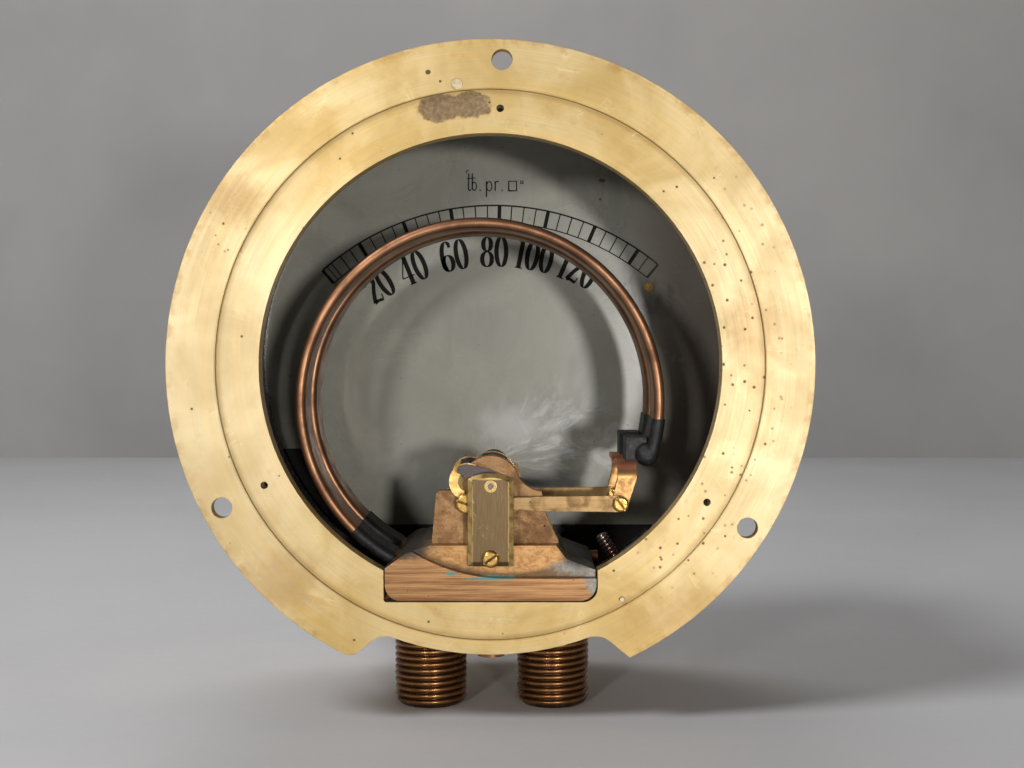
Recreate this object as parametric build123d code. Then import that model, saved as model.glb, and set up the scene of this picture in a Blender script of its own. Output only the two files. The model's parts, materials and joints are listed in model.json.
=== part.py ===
from build123d import *
import os
from math import acos, cos, pi, radians, sin, tan

# A duplex pressure gauge for a panel: brass case with a rear flange, two coaxial Bourdon tubes,
# and one lever movement for each of its two pointers. Millimetres.
# Frame: the origin is the centre of the flange's rear face, +Z is up, and the dial faces -Y.
# A depth is a distance behind the flange's rear face towards the dial, so Y = -depth.

# Case
FLANGE_R = 88.9  # 7 inch flange
FLANGE_T = 4.0
RECESS_R = 75.4  # seat of the rear cover plate
RECESS_DEPTH = 1.2
OPENING_R = 63.6
RING_DEPTH = 7.5  # the inner ring's front face
DRUM_R = 79.4
BORE_R = 75.5
DRUM_DEPTH = 84.0
SHOULDER_R = 70.0
SHOULDER_NEAR, SHOULDER_FAR = 77.5, 79.5
NOTCH_HALF = 29.5
NOTCH_Z = -65.1
TRIM_HALF = 31.2  # where the flange is cut away round the unions
TRIM_Z = -74.4
HOLE_TURN = 2.2  # the holes stand this many degrees clockwise of the top, seen from the rear
PANEL_PCD, PANEL_HOLE_R = 166.7, 2.85
COVER_PCD, COVER_HOLE_R = 140.7, 1.0
PLUG_PLACES = ((9.1, 76.7, 1.55), (-36.2, -64.2, 0.7))
WALL_SCREW_CLOCK, WALL_SCREW_DEPTH, WALL_SCREW_R = 147.5, 30.0, 1.9
BEZEL_SCREW_CLOCKS, BEZEL_SCREW_R, BEZEL_SCREW_DEPTH = (0, 120, 240), 1.4, 80.5

# Connections
UNION_R = 10.4775  # 1/2 inch BSP, major diameter 20.955
UNION_X = 17.8
UNION_DEPTH = 27.0
UNION_END_Z = -98.8
UNION_THREAD_TOP_Z = -79.8
UNION_NECK_R = 10.1
UNION_SEAT_Z = -69.0
UNION_BORE_R = 4.0
SPIGOT_R, SPIGOT_TOP_Z = 8.9, -62.0

# Socket
SOCKET_HALF = 29.2
SOCKET_NEAR, SOCKET_FAR = 1.0, 53.0
SOCKET_BACK_Z = -64.8
PAD_DEPTH = 4.0
PAD_ARC_X, PAD_ARC_Z, PAD_ARC_R = -4.0, -10.0, 48.5
PASSAGE_R, PASSAGE_Z = 1.2, -58.3
SOCKET_SCREW_DEPTHS, SOCKET_SCREW_R = (13.0, 41.0), 2.0
FOOT_SCREW_XS, FOOT_SCREW_DEPTH = (-9.0, 9.0), 16.5

# Bourdon tubes
TUBE_X, TUBE_Z = 3.1, -10.4
TUBE_R = 50.2
TUBE_THICK, TUBE_WIDE, TUBE_WALL = 3.0, 14.0, 0.6
TUBE_DEPTH = 15.0  # middle of the rear tube
TRAIN_PITCH = 24.0  # the front tube and its movement stand this much further forward
TRAINS = (("a", 0.0), ("b", TRAIN_PITCH))
ROOT_ANGLE, POCKET_END = 246.0, 252.0  # angles about the tube's centre, 0 at -X and 90 at the top
SLEEVE_START, TUBE_TIP, CAP_ANGLE = -5.3, -13.6, -17.3
FERRULE_START, FERRULE_END = 225.5, 241.0

# Movement, in the plane of the rear train
ARBOR_Z = -33.2
SECTOR_Z = -46.0
PIN_Z = -38.3
ROD_END_X, ROD_END_Z = -36.0, -38.3
MODULE = 0.4
SECTOR_TEETH, PINION_TEETH = 48, 16
PRESSURE = radians(20.0)
ADDENDUM, DEDENDUM, BACKLASH = 0.34, 0.5, 0.08
BAR_NEAR, BAR_FAR = 2.0, 4.0
ROD_NEAR, ROD_FAR = 4.4, 5.6
SECTOR_NEAR, SECTOR_FAR = 5.9, 7.0
CHEEK_NEAR, CHEEK_FAR = 8.0, 12.0
BAR_HALF = 6.35
BAR_SCREW_Z = -53.2
ARBOR_R, HOLLOW_R, PIVOT_R, RUNNING = 1.0, 1.9, 0.75, 0.05
BUSH_R, STUD_R, SECTOR_PIN_R, ROD_SCREW_R = 1.75, 1.2, 0.9, 1.18
OPEN_PIVOT_PLAY = 0.25  # where a rod's eye rides on its sector's pin
COLLET_NEAR = 14.0
SPRING_NEAR, SPRING_WIDE, SPRING_STRIP, SPRING_PITCH, SPRING_TURNS = 14.3, 0.8, 0.25, 1.3, 3
SPRING_FIRST_R = {"a": 2.0, "b": 2.9}
SPRING_STUD_R, SPRING_STUD_DROP = 0.45, 2.1
HOOK_X, HOOK_Z, HOOK_SCREW_R = 6.9, -38.3, 1.1
HOOK_ARC_X, HOOK_ARC_Z, HOOK_OUTER, HOOK_INNER = 6.5, -32.4, 5.2, 2.7
BRIDGE_NEAR, BRIDGE_T, PILLAR_X, PILLAR_Z, PILLAR_R = 55.0, 2.0, 6.0, -39.8, 1.6

# Dial and front
DIAL_R = 75.2
PLATE_NEAR, PLATE_MID = 75.7, 76.7
DIAL_CHORD_Z = -53.0
GLASS_R, GLASS_NEAR, GLASS_FAR = 79.0, 85.2, 88.2
BEZEL_R, BEZEL_BORE_R, BEZEL_LIP_R = 83.4, 79.6, 71.0
BEZEL_NEAR, BEZEL_FAR = 77.0, 92.0
POINTER_LENGTH, POINTER_TAIL = 79.0, 20.0
POINTER_ZERO = -40.5  # degrees from upright, towards -X
RIVET_PLACES = ((-50.0, 24.1), (50.0, 24.1), (0.0, -47.0))


def save(name, *solids):
    """Writes the solids as one node."""
    shape = solids[0] if len(solids) == 1 else Compound(children=list(solids))
    export_step(shape, f"parts/{name}.step")


def slab(sketch, near, far):
    """The sketch, drawn in X and Z, as a plate between two depths."""
    return extrude(Plane.XZ.offset(near) * sketch, amount=far - near, dir=(0, -1, 0))


def disc(radius, near, far, x=0.0, z=0.0):
    return slab(Pos(x, z) * Circle(radius), near, far)


def ring(outer, inner, near, far, x=0.0, z=0.0):
    return slab(Pos(x, z) * (Circle(outer) - Circle(inner)), near, far)


def upright(radius, low, high, x, depth):
    """A cylinder along Z."""
    return Pos(x, -depth, (low + high) / 2) * Cylinder(radius, high - low)


def radial(radius, inner, outer, clock, depth):
    """A cylinder along a radius of the case, at a clock angle from the top, seen from the rear."""
    place = Pos(0, -depth, 0) * Rot(0, -clock, 0) * Pos(0, 0, (inner + outer) / 2)
    return place * Cylinder(radius, outer - inner)


def clock_place(radius, clock):
    return (-radius * sin(radians(clock)), radius * cos(radians(clock)))


def tube_place(angle, radius=TUBE_R):
    """A point on the tubes' circle, as X and Z."""
    return (TUBE_X - radius * cos(radians(angle)), TUBE_Z + radius * sin(radians(angle)))


def screw_head(radius, height, slot_width, slot_turn, x, z, top):
    """A round head with a slot, its crown facing the rear at the depth top."""
    head = disc(radius, top, top + height, x, z)
    crown = head.edges().group_by(Axis.Y)[-1]
    head = fillet(crown, height * 0.55)
    slot = Pos(x, z) * Rot(0, 0, slot_turn) * Rectangle(3 * radius, slot_width)
    return head - slab(slot, top - 1, top + height * 0.45)


# ---------------------------------------------------------------- case

def flange_sketch():
    """The flange's outline: a circle, cut away at the bottom down to the drum."""
    reach = 14.0
    slope = 5.4 / 6.5
    low = FLANGE_R + 10
    wedge = Polygon(
        (-TRIM_HALF, TRIM_Z),
        (-TRIM_HALF - reach, TRIM_Z - reach * slope),
        (-TRIM_HALF - reach, -low),
        (TRIM_HALF + reach, -low),
        (TRIM_HALF + reach, TRIM_Z - reach * slope),
        (TRIM_HALF, TRIM_Z),
        align=None,
    )
    outline = Circle(FLANGE_R) - (wedge - Circle(DRUM_R))
    corners = outline.vertices().filter_by(lambda v: abs(v.X) > TRIM_HALF + 3)
    rounded = corners.sort_by(Axis.X)[-1:]
    outline = fillet(rounded, 4.0)
    inner = outline.vertices().filter_by(lambda v: abs(abs(v.X) - TRIM_HALF) < 0.2)
    return fillet(inner, 5.5)


def notch_sketch():
    notch = Pos(0, (NOTCH_Z - 40) / 2) * Rectangle(2 * NOTCH_HALF, -40 - NOTCH_Z)
    foot = notch.vertices().group_by(Axis.Y)[0].sort_by(Axis.X)
    notch = fillet(foot[:1], 4.0)
    foot = notch.vertices().sort_by(lambda v: v.Y - v.X)
    return fillet(foot[:1], 0.8)


def case_body():
    case = slab(flange_sketch(), 0, FLANGE_T) + disc(DRUM_R, 0, DRUM_DEPTH)
    case -= disc(RECESS_R, 0, RECESS_DEPTH)
    case -= slab(Circle(OPENING_R) + notch_sketch(), 0, RING_DEPTH)
    case -= disc(BORE_R, RING_DEPTH, SHOULDER_NEAR)
    case -= disc(SHOULDER_R, SHOULDER_NEAR, SHOULDER_FAR)
    case -= disc(BORE_R, SHOULDER_FAR, DRUM_DEPTH)
    for clock in (HOLE_TURN, HOLE_TURN + 120, HOLE_TURN + 240):
        case -= disc(PANEL_HOLE_R, 0, FLANGE_T, *clock_place(PANEL_PCD / 2, clock))
        case -= disc(COVER_HOLE_R, 0, RING_DEPTH, *clock_place(COVER_PCD / 2, clock))
    for x, z, r in PLUG_PLACES:
        case -= disc(r, 0, 3.0, x, z)
    for x in (-UNION_X, UNION_X):
        case -= upright(UNION_R + 0.3, -DRUM_R - 2, -60, x, UNION_DEPTH)
    for depth in SOCKET_SCREW_DEPTHS:
        case -= upright(SOCKET_SCREW_R + 0.2, -DRUM_R - 2, -60, 0, depth)
    case -= radial(WALL_SCREW_R, BORE_R - 3, DRUM_R + 2, WALL_SCREW_CLOCK, WALL_SCREW_DEPTH)
    for clock in BEZEL_SCREW_CLOCKS:
        case -= radial(BEZEL_SCREW_R, BORE_R - 3, DRUM_R + 2, clock, BEZEL_SCREW_DEPTH)
    return case


def flange_plugs():
    return [disc(r - 0.02, 0.0, 3.0, x, z) for x, z, r in PLUG_PLACES]


def front_bezel():
    profile = Polygon(
        (BEZEL_BORE_R, -BEZEL_NEAR),
        (BEZEL_R - 1.0, -BEZEL_NEAR),
        (BEZEL_R, -BEZEL_NEAR - 1.0),
        (BEZEL_R, -BEZEL_FAR + 3.5),
        (BEZEL_R - 1.5, -BEZEL_FAR + 0.9),
        (BEZEL_R - 3.5, -BEZEL_FAR),
        (BEZEL_LIP_R + 3.0, -BEZEL_FAR),
        (BEZEL_LIP_R, -BEZEL_FAR + 2.0),
        (BEZEL_LIP_R, -GLASS_FAR),
        (BEZEL_BORE_R, -GLASS_FAR),
        align=None,
    )
    bezel = revolve(profile, Axis.Y)
    for clock in BEZEL_SCREW_CLOCKS:
        bezel -= radial(BEZEL_SCREW_R + 0.1, BORE_R, BEZEL_R + 2, clock, BEZEL_SCREW_DEPTH)
    return bezel


def bezel_screws():
    screws = []
    for clock in BEZEL_SCREW_CLOCKS:
        head = radial(2.6, BEZEL_R, BEZEL_R + 1.8, clock, BEZEL_SCREW_DEPTH)
        shank = radial(BEZEL_SCREW_R, BORE_R + 0.3, BEZEL_R, clock, BEZEL_SCREW_DEPTH)
        place = Pos(0, -BEZEL_SCREW_DEPTH, 0) * Rot(0, -clock, 0) * Pos(0, 0, BEZEL_R + 1.8)
        screws.append(head + shank - place * Box(0.7, 6, 1.2))
    return screws


def wall_screw():
    """A long screw through the drum's wall: its threaded end stands inside the case."""
    clock, depth = WALL_SCREW_CLOCK, WALL_SCREW_DEPTH
    head = radial(3.4, DRUM_R + 0.2, DRUM_R + 2.6, clock, depth)
    shank = radial(WALL_SCREW_R, 59.5, DRUM_R + 0.2, clock, depth)
    slot = Pos(0, -depth, 0) * Rot(0, -clock, 0) * Pos(0, 0, DRUM_R + 2.6) * Box(0.8, 8, 1.6)
    return head + shank - slot


# ---------------------------------------------------------------- socket and unions

def socket_sketch():
    """The block's shape where it shows through the rear notch."""
    half = SOCKET_HALF
    outline = Polygon(
        (-half, SOCKET_BACK_Z),
        (-half, -56.6),
        (-21.1, -53.6),
        (-18.1, -49.8),
        (16.6, -49.8),
        (23.5, -51.7),
        (half, -55.8),
        (half, SOCKET_BACK_Z),
        align=None,
    )
    feet = outline.vertices().group_by(Axis.Y)[0]
    return fillet(feet, 4.5)


def pad_sketch():
    """The recessed pad that the movement's bar is screwed to: an arc on one side, level on the other."""
    arc = Pos(PAD_ARC_X, PAD_ARC_Z) * Circle(PAD_ARC_R)
    foot_z = PAD_ARC_Z - PAD_ARC_R
    level = Pos(PAD_ARC_X - 20, foot_z + 10) * Rectangle(40, 20)
    rounded = arc & Pos(0, -50) * Rectangle(80, 40)
    return rounded + level


def socket_block():
    foot = Circle(BORE_R - 0.02) & Pos(0, -70) * Rectangle(2 * SOCKET_HALF, 40)
    foot &= Pos(0, -75) * Rectangle(80, 30)
    block = slab(socket_sketch(), SOCKET_NEAR, SOCKET_FAR)
    block += slab(foot, RING_DEPTH + 0.1, SOCKET_FAR - RING_DEPTH)
    block -= slab(pad_sketch(), SOCKET_NEAR, PAD_DEPTH)
    block -= slab(pad_sketch(), SOCKET_FAR + SOCKET_NEAR - PAD_DEPTH, SOCKET_FAR)
    for x in (-UNION_X, UNION_X):
        block -= upright(UNION_R + 0.3, -80, UNION_SEAT_Z, x, UNION_DEPTH)
        block -= upright(SPIGOT_R, UNION_SEAT_Z, SPIGOT_TOP_Z, x, UNION_DEPTH)
        block -= upright(PASSAGE_R, SPIGOT_TOP_Z, PASSAGE_Z, x, UNION_DEPTH)
    for _, forward in TRAINS:
        block -= tube_arc(ROOT_ANGLE - 16, POCKET_END, TUBE_THICK, TUBE_WIDE, forward)
        block -= tube_arc(FERRULE_START, FERRULE_END, TUBE_THICK + 0.9, TUBE_WIDE + 0.9, forward)
    block -= passages()
    for depth in SOCKET_SCREW_DEPTHS:
        block -= upright(SOCKET_SCREW_R, -80, -61, 0, depth)
    block -= disc(1.5, PAD_DEPTH, 12.0, 0, BAR_SCREW_Z)
    for _, forward in TRAINS:
        for x in FOOT_SCREW_XS:
            block -= upright(1.4, -56.5, -45, x, FOOT_SCREW_DEPTH + forward)
    plug_hole = Pos(-SOCKET_HALF, -UNION_DEPTH - 12, PASSAGE_Z) * Rot(0, 90, 0) * Cylinder(PASSAGE_R, 4)
    return block - plug_hole


def passages():
    """The drilled ways from each union to its tube."""
    near, far = TUBE_DEPTH, TUBE_DEPTH + TRAIN_PITCH
    rear = disc(PASSAGE_R, near, UNION_DEPTH, UNION_X, PASSAGE_Z)
    front = disc(PASSAGE_R, UNION_DEPTH, far, -UNION_X, PASSAGE_Z)
    length = SOCKET_HALF + UNION_X
    middle = (UNION_X - SOCKET_HALF) / 2
    across = Pos(middle, -far, PASSAGE_Z) * Rot(0, 90, 0) * Cylinder(PASSAGE_R, length)
    return rear + front + across


def passage_plug():
    """A slotted plug in the mouth of the cross passage."""
    depth = TUBE_DEPTH + TRAIN_PITCH
    head = Pos(-SOCKET_HALF - 1.2, -depth, PASSAGE_Z) * Rot(0, 90, 0) * Cylinder(2.2, 2.4)
    shank = Pos(-SOCKET_HALF + 1.0, -depth, PASSAGE_Z) * Rot(0, 90, 0) * Cylinder(PASSAGE_R, 2.0)
    slot = Pos(-SOCKET_HALF - 2.4, -depth, PASSAGE_Z) * Box(1.0, 6, 0.7)
    return head + shank - slot


def union(x):
    """A union: the thread's major diameter below, a neck, and a spigot that screws into the socket."""
    body = upright(UNION_R, UNION_END_Z, UNION_THREAD_TOP_Z, x, UNION_DEPTH)
    body = chamfer(body.edges().group_by(Axis.Z)[0], 1.6)
    body += upright(UNION_NECK_R, UNION_THREAD_TOP_Z, UNION_SEAT_Z, x, UNION_DEPTH)
    body += upright(SPIGOT_R - 0.02, UNION_SEAT_Z, SPIGOT_TOP_Z, x, UNION_DEPTH)
    return body - upright(UNION_BORE_R, UNION_END_Z, SPIGOT_TOP_Z, x, UNION_DEPTH)


def socket_screws():
    screws = []
    for depth in SOCKET_SCREW_DEPTHS:
        head = upright(3.8, -DRUM_R - 2.8, -DRUM_R, 0, depth)
        shank = upright(SOCKET_SCREW_R - 0.02, -DRUM_R, -61.5, 0, depth)
        screws.append(head + shank - Pos(0, -depth, -DRUM_R - 2.8) * Box(9, 1.0, 2.4))
    return screws


# ---------------------------------------------------------------- tubes and their tips

def tube_section(thick, wide):
    """A flattened tube's section, in radius and depth, with round edges."""
    return SlotOverall(wide, thick, rotation=90)


def tube_arc(start, end, thick, wide, forward):
    """A stretch of flattened tube between two angles about the tubes' centre."""
    centre = Pos(TUBE_X, -TUBE_DEPTH - forward, TUBE_Z)
    profile = Pos(TUBE_R, 0) * tube_section(thick, wide)
    swept = revolve(profile, Axis.Y, revolution_arc=abs(end - start))
    low = min(start, end)
    return centre * Rot(0, low + 180, 0) * swept


def bourdon_tube(forward):
    shell = tube_arc(TUBE_TIP, ROOT_ANGLE, TUBE_THICK, TUBE_WIDE, forward)
    inner = (TUBE_THICK - 2 * TUBE_WALL, TUBE_WIDE - 2 * TUBE_WALL)
    return shell - tube_arc(TUBE_TIP - 1, ROOT_ANGLE + 1, *inner, forward)


def root_ferrule(forward):
    """A sleeve soldered round the tube where it enters the socket."""
    band = tube_arc(FERRULE_START, FERRULE_END, TUBE_THICK + 0.8, TUBE_WIDE + 0.8, forward)
    return band - tube_arc(FERRULE_START - 1, FERRULE_END + 1, TUBE_THICK, TUBE_WIDE, forward)


def tip_cap(forward):
    """The cap that closes the tube's free end: a sleeve, a round end and a lug for the clip."""
    sleeve = tube_arc(CAP_ANGLE, SLEEVE_START, TUBE_THICK + 0.8, TUBE_WIDE + 0.8, forward)
    x, z = tube_place(CAP_ANGLE, 49.0)
    near, far = TUBE_DEPTH - 7.5 + forward, TUBE_DEPTH + 7.5 + forward
    ball = disc(3.3, near, far, x, z)
    ball = fillet(ball.edges(), 2.4)
    lug = Pos((x - 37.8) / 2, -TUBE_DEPTH - forward, z + 1.5) * Box(-37.8 - x, 10, 6.6)
    cap = sleeve + ball + lug
    return cap - tube_arc(TUBE_TIP - 1.0, SLEEVE_START + 1, TUBE_THICK + 0.2, TUBE_WIDE + 0.2, forward)


def tip_clip(forward):
    """A bent strip: a leaning leg that carries the rod's screw, curled over to the lug on the cap."""
    _, ball_z = tube_place(CAP_ANGLE, 49.0)
    near, thick, bend = 5.9, 1.3, 4.5
    top = ball_z - 1.8
    leg_top = top - bend
    outer_x, inner_x = -40.6, -35.3
    leg = Polygon(
        (outer_x, leg_top), (ROD_END_X - 2.4, ROD_END_Z), (ROD_END_X + 2.4, ROD_END_Z), (inner_x, leg_top),
        align=None,
    )
    leg += Pos(ROD_END_X, ROD_END_Z) * Circle(2.4)
    clip = slab(leg, near + forward, near + thick + forward)
    corner = -(near + bend + forward)
    curl = Pos(corner, leg_top) * (Circle(bend) - Circle(bend - thick))
    curl &= Pos(corner + bend / 2, leg_top + bend / 2) * Rectangle(bend, bend)
    clip += extrude(Plane.YZ.offset(outer_x) * curl, amount=inner_x - outer_x)
    tab_near, tab_far = near + bend + forward, 19.0 + forward
    tab = Pos((outer_x + inner_x) / 2, -(tab_near + tab_far) / 2, top - thick / 2)
    clip += tab * Box(inner_x - outer_x, tab_far - tab_near, thick)
    rib_low = (ROD_END_X + 1.6, ROD_END_Z + 3.5)
    rib = Polygon(
        (inner_x - 1.0, leg_top), (rib_low[0] - 1.0, rib_low[1]), rib_low, (inner_x, leg_top), align=None
    )
    clip += slab(rib, near + thick + forward, near + thick + 1.2 + forward)
    hole_near, hole_far = near + forward - 1, near + thick + forward + 1
    return clip - disc(ROD_SCREW_R + 0.02, hole_near, hole_far, ROD_END_X, ROD_END_Z)


def rod_screw(forward):
    head = screw_head(2.2, 1.3, 0.6, 55, ROD_END_X, ROD_END_Z, 3.0 + forward)
    return head + disc(ROD_SCREW_R, 4.3 + forward, 7.4 + forward, ROD_END_X, ROD_END_Z)


def rod(forward):
    """The link from the tip to the sector, in two lapped strips, with an eye at each end."""
    lap_x = -11.5
    bar = Polygon(
        (ROD_END_X, ROD_END_Z - 2.3), (lap_x, PIN_Z - 2.0), (lap_x, PIN_Z - 1.8), (0, PIN_Z - 1.8),
        (0, PIN_Z + 1.8), (lap_x, PIN_Z + 1.8), (lap_x, PIN_Z + 2.0), (ROD_END_X, ROD_END_Z + 2.3),
        align=None,
    )
    bar += Pos(ROD_END_X, ROD_END_Z) * Circle(2.3) + Pos(0, PIN_Z) * Circle(1.95)
    bar -= Pos(ROD_END_X, ROD_END_Z) * Circle(ROD_SCREW_R + RUNNING)
    bar -= Pos(0, PIN_Z) * Circle(SECTOR_PIN_R + OPEN_PIVOT_PLAY)
    return slab(bar, ROD_NEAR + forward, ROD_FAR + forward)


# ---------------------------------------------------------------- gears and arbors

def involute(angle):
    return tan(angle) - angle


def tooth_flank(teeth):
    """One flank of a tooth, as radius and half angle, from the root to the tip."""
    pitch_r = MODULE * teeth / 2
    base_r = pitch_r * cos(PRESSURE)
    half = (pi * MODULE / 2 - BACKLASH) / (2 * pitch_r)
    flank = []
    low = max(base_r, pitch_r - DEDENDUM)
    if low > pitch_r - DEDENDUM:
        flank.append((pitch_r - DEDENDUM, half + involute(PRESSURE)))
    for step in range(5):
        r = low + (pitch_r + ADDENDUM - low) * step / 4
        flank.append((r, half + involute(PRESSURE) - involute(acos(min(1.0, base_r / r)))))
    return flank


def toothed_points(teeth, first, last, upward):
    """Points round a run of teeth. Angles turn from +Z towards +X, or from -Z when upward is False."""
    points = []
    start = 0.0 if upward else pi + pi / teeth
    for index in range(first, last + 1):
        middle = start + index * 2 * pi / teeth
        flank = tooth_flank(teeth)
        rise = [(r, middle - a) for r, a in flank]
        fall = [(r, middle + a) for r, a in reversed(flank)]
        points += [(r * sin(a), r * cos(a)) for r, a in rise + fall]
    return points


def pinion(near, far, bore):
    outline = make_face(Polyline(*toothed_points(PINION_TEETH, 0, PINION_TEETH - 1, False), close=True))
    return slab(Pos(0, ARBOR_Z) * (outline - Circle(bore)), near, far)


def sector(forward):
    """The toothed sector, with its hub, and the hole for the pin that the rod pulls."""
    rim = toothed_points(SECTOR_TEETH, -1, 4, True)
    root_r = MODULE * SECTOR_TEETH / 2 - DEDENDUM
    first, last = radians(-11.0), radians(33.0)
    edge_a = (root_r * sin(first), root_r * cos(first))
    edge_b = (root_r * sin(last), root_r * cos(last))
    blade = make_face(Polyline(edge_a, *rim, edge_b, (2.4, 1.0), (-2.4, 1.0), close=True))
    blade += Circle(2.9) + Pos(0, PIN_Z - SECTOR_Z) * Circle(1.3)
    blade -= Circle(STUD_R + RUNNING)
    blade -= Pos(0, PIN_Z - SECTOR_Z) * Circle(SECTOR_PIN_R)
    return slab(Pos(0, SECTOR_Z) * blade, SECTOR_NEAR + forward, SECTOR_FAR + forward)


def sector_pin(forward):
    return disc(SECTOR_PIN_R, 4.25 + forward, SECTOR_FAR + forward, 0, PIN_Z)


def sector_stud(forward):
    """The fixed stud that a sector swings on, with its retaining head."""
    head = disc(1.9, 4.8 + forward, 5.7 + forward, 0, SECTOR_Z)
    return head + disc(STUD_R, 5.7 + forward, 10.5 + forward, 0, SECTOR_Z)


def arbor_a():
    """The inner arbor, from the rear bar to the front pointer, with its pinion."""
    pivot = disc(PIVOT_R, BAR_NEAR, BAR_FAR + 0.2, 0, ARBOR_Z)
    shaft = disc(ARBOR_R, BAR_FAR + 0.2, 84.0, 0, ARBOR_Z)
    return pivot + shaft + pinion(SECTOR_NEAR, SECTOR_FAR, ARBOR_R - 0.2)


def arbor_b():
    """The hollow arbor round the inner one, with the front train's pinion."""
    near, far = 28.6, 80.6
    shaft = disc(HOLLOW_R, near, far, 0, ARBOR_Z)
    shaft += pinion(SECTOR_NEAR + TRAIN_PITCH, SECTOR_FAR + TRAIN_PITCH, HOLLOW_R - 0.2)
    return shaft - disc(ARBOR_R + RUNNING, near - 1, far + 1, 0, ARBOR_Z)


def collet(shaft_r, near):
    """The split ring that grips the arbor and holds the hairspring's inner end."""
    body = ring(shaft_r + 0.8, shaft_r, near, near + 1.4, 0, ARBOR_Z)
    return body - Pos(0, -near, ARBOR_Z + shaft_r) * Box(0.3, 6, 2.4)


def hairspring(first_r, forward):
    """A spiral strip made of half rings, each a step larger, with a straight end at its stud."""
    spiral = None
    for index in range(2 * SPRING_TURNS + 1):
        r = first_r + index * SPRING_PITCH / 2
        upper = index % 2 == 0
        half = Circle(r + SPRING_STRIP / 2) - Circle(r - SPRING_STRIP / 2)
        half &= Pos(0, 20 if upper else -20) * Rectangle(60, 40)
        half = Pos(0 if upper else -SPRING_PITCH / 2, ARBOR_Z) * half
        spiral = half if spiral is None else spiral + half
    last_r = first_r + SPRING_TURNS * SPRING_PITCH
    length = SPRING_STUD_DROP + SPRING_STUD_R
    spiral += Pos(last_r, ARBOR_Z - length / 2) * Rectangle(SPRING_STRIP, length)
    return slab(spiral, SPRING_NEAR + forward, SPRING_NEAR + SPRING_WIDE + forward)


def hairspring_stud(first_r, forward):
    """The pin on the casting that holds a hairspring's outer end."""
    x = first_r + SPRING_TURNS * SPRING_PITCH + SPRING_STRIP / 2 + SPRING_STUD_R
    far = SPRING_NEAR + SPRING_WIDE + 0.3 + forward
    return disc(SPRING_STUD_R, CHEEK_FAR + forward, far, x, ARBOR_Z - SPRING_STUD_DROP)


# ---------------------------------------------------------------- movement frame

def bar_sketch():
    crown_r = 12.3
    top, low = -29.5, -55.4
    block = Pos(0, (top + low) / 2) * Rectangle(2 * BAR_HALF, top - low)
    return block & Pos(0, top - crown_r) * Circle(crown_r) + Pos(0, (low - 40) / 2) * Rectangle(
        2 * BAR_HALF, -40 - low
    )


def rear_bar():
    bar = slab(bar_sketch(), BAR_NEAR, BAR_FAR)
    rim = bar.faces().sort_by(Axis.Y)[-1].edges()
    bar = chamfer(rim, 0.6, 1.3)
    bar -= disc(BUSH_R, 0, BAR_FAR, 0, ARBOR_Z)
    return bar - disc(1.6, 0, BAR_FAR, 0, BAR_SCREW_Z)


def arbor_bush():
    return ring(BUSH_R, PIVOT_R + RUNNING, BAR_NEAR, BAR_FAR, 0, ARBOR_Z)


def bar_screw():
    head = screw_head(2.4, 1.6, 0.7, -35, 0, BAR_SCREW_Z, BAR_NEAR - 1.6)
    return head + disc(1.48, BAR_NEAR, 11.5, 0, BAR_SCREW_Z)


def cheek_sketch(crown_r, trim):
    """The casting's outline: a round top about the arbor, a hollow flank and a wide foot."""
    foot_z, shoulder_z = -49.8, -35.2 - trim
    crown_side = (-crown_r * 0.9, ARBOR_Z + crown_r * 0.4)
    flank = make_face(
        Polyline((-14.2 + trim, foot_z), (-14.2 + trim, shoulder_z))
        + ThreePointArc((-14.2 + trim, shoulder_z), (-9.3 + trim / 2, -33.0 - trim), crown_side)
        + Polyline(crown_side, (0, ARBOR_Z), (0, foot_z), (-14.2 + trim, foot_z))
    )
    body = Polygon(
        (-18.9 + trim, foot_z), (-18.9 + trim, foot_z + 0.9), (-15.4 + trim, -41.4),
        (-14.2 + trim, shoulder_z), (-6.0, -38.0), (0, ARBOR_Z), (6.0, shoulder_z + 0.4),
        (14.6 - trim, shoulder_z + 0.2),
        (15.4 - trim, shoulder_z - 0.8), (16.5 - trim, -48.5), (16.5 - trim, foot_z), align=None,
    )
    return body + flank + Pos(0, ARBOR_Z) * Circle(crown_r)


def movement_frame(forward, crown_r, trim, bore):
    """A casting: the cheek that carries one train, and the foot that is screwed to the socket."""
    cheek = slab(cheek_sketch(crown_r, trim), CHEEK_NEAR + forward, CHEEK_FAR + forward)
    foot = Pos(0, -(CHEEK_FAR + 21.0) / 2 - forward, -46.8) * Box(28, 21.0 - CHEEK_FAR, 6)
    frame = cheek + foot
    frame -= disc(bore, 0, 60, 0, ARBOR_Z)
    frame -= disc(STUD_R, CHEEK_NEAR + forward, 10.5 + forward, 0, SECTOR_Z)
    frame -= disc(HOOK_SCREW_R, CHEEK_NEAR + forward, 11.0 + forward, HOOK_X, HOOK_Z)
    for x in FOOT_SCREW_XS:
        frame -= upright(1.6, -50, -43, x, FOOT_SCREW_DEPTH + forward)
    return frame


def foot_screws():
    screws = []
    for _, forward in TRAINS:
        for x in FOOT_SCREW_XS:
            depth = FOOT_SCREW_DEPTH + forward
            head = upright(2.6, -43.8, -42.0, x, depth)
            head -= Pos(x, -depth, -42.0) * Box(0.7, 8, 1.4)
            screws.append(head + upright(1.38, -56.0, -43.8, x, depth))
    return screws


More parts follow.
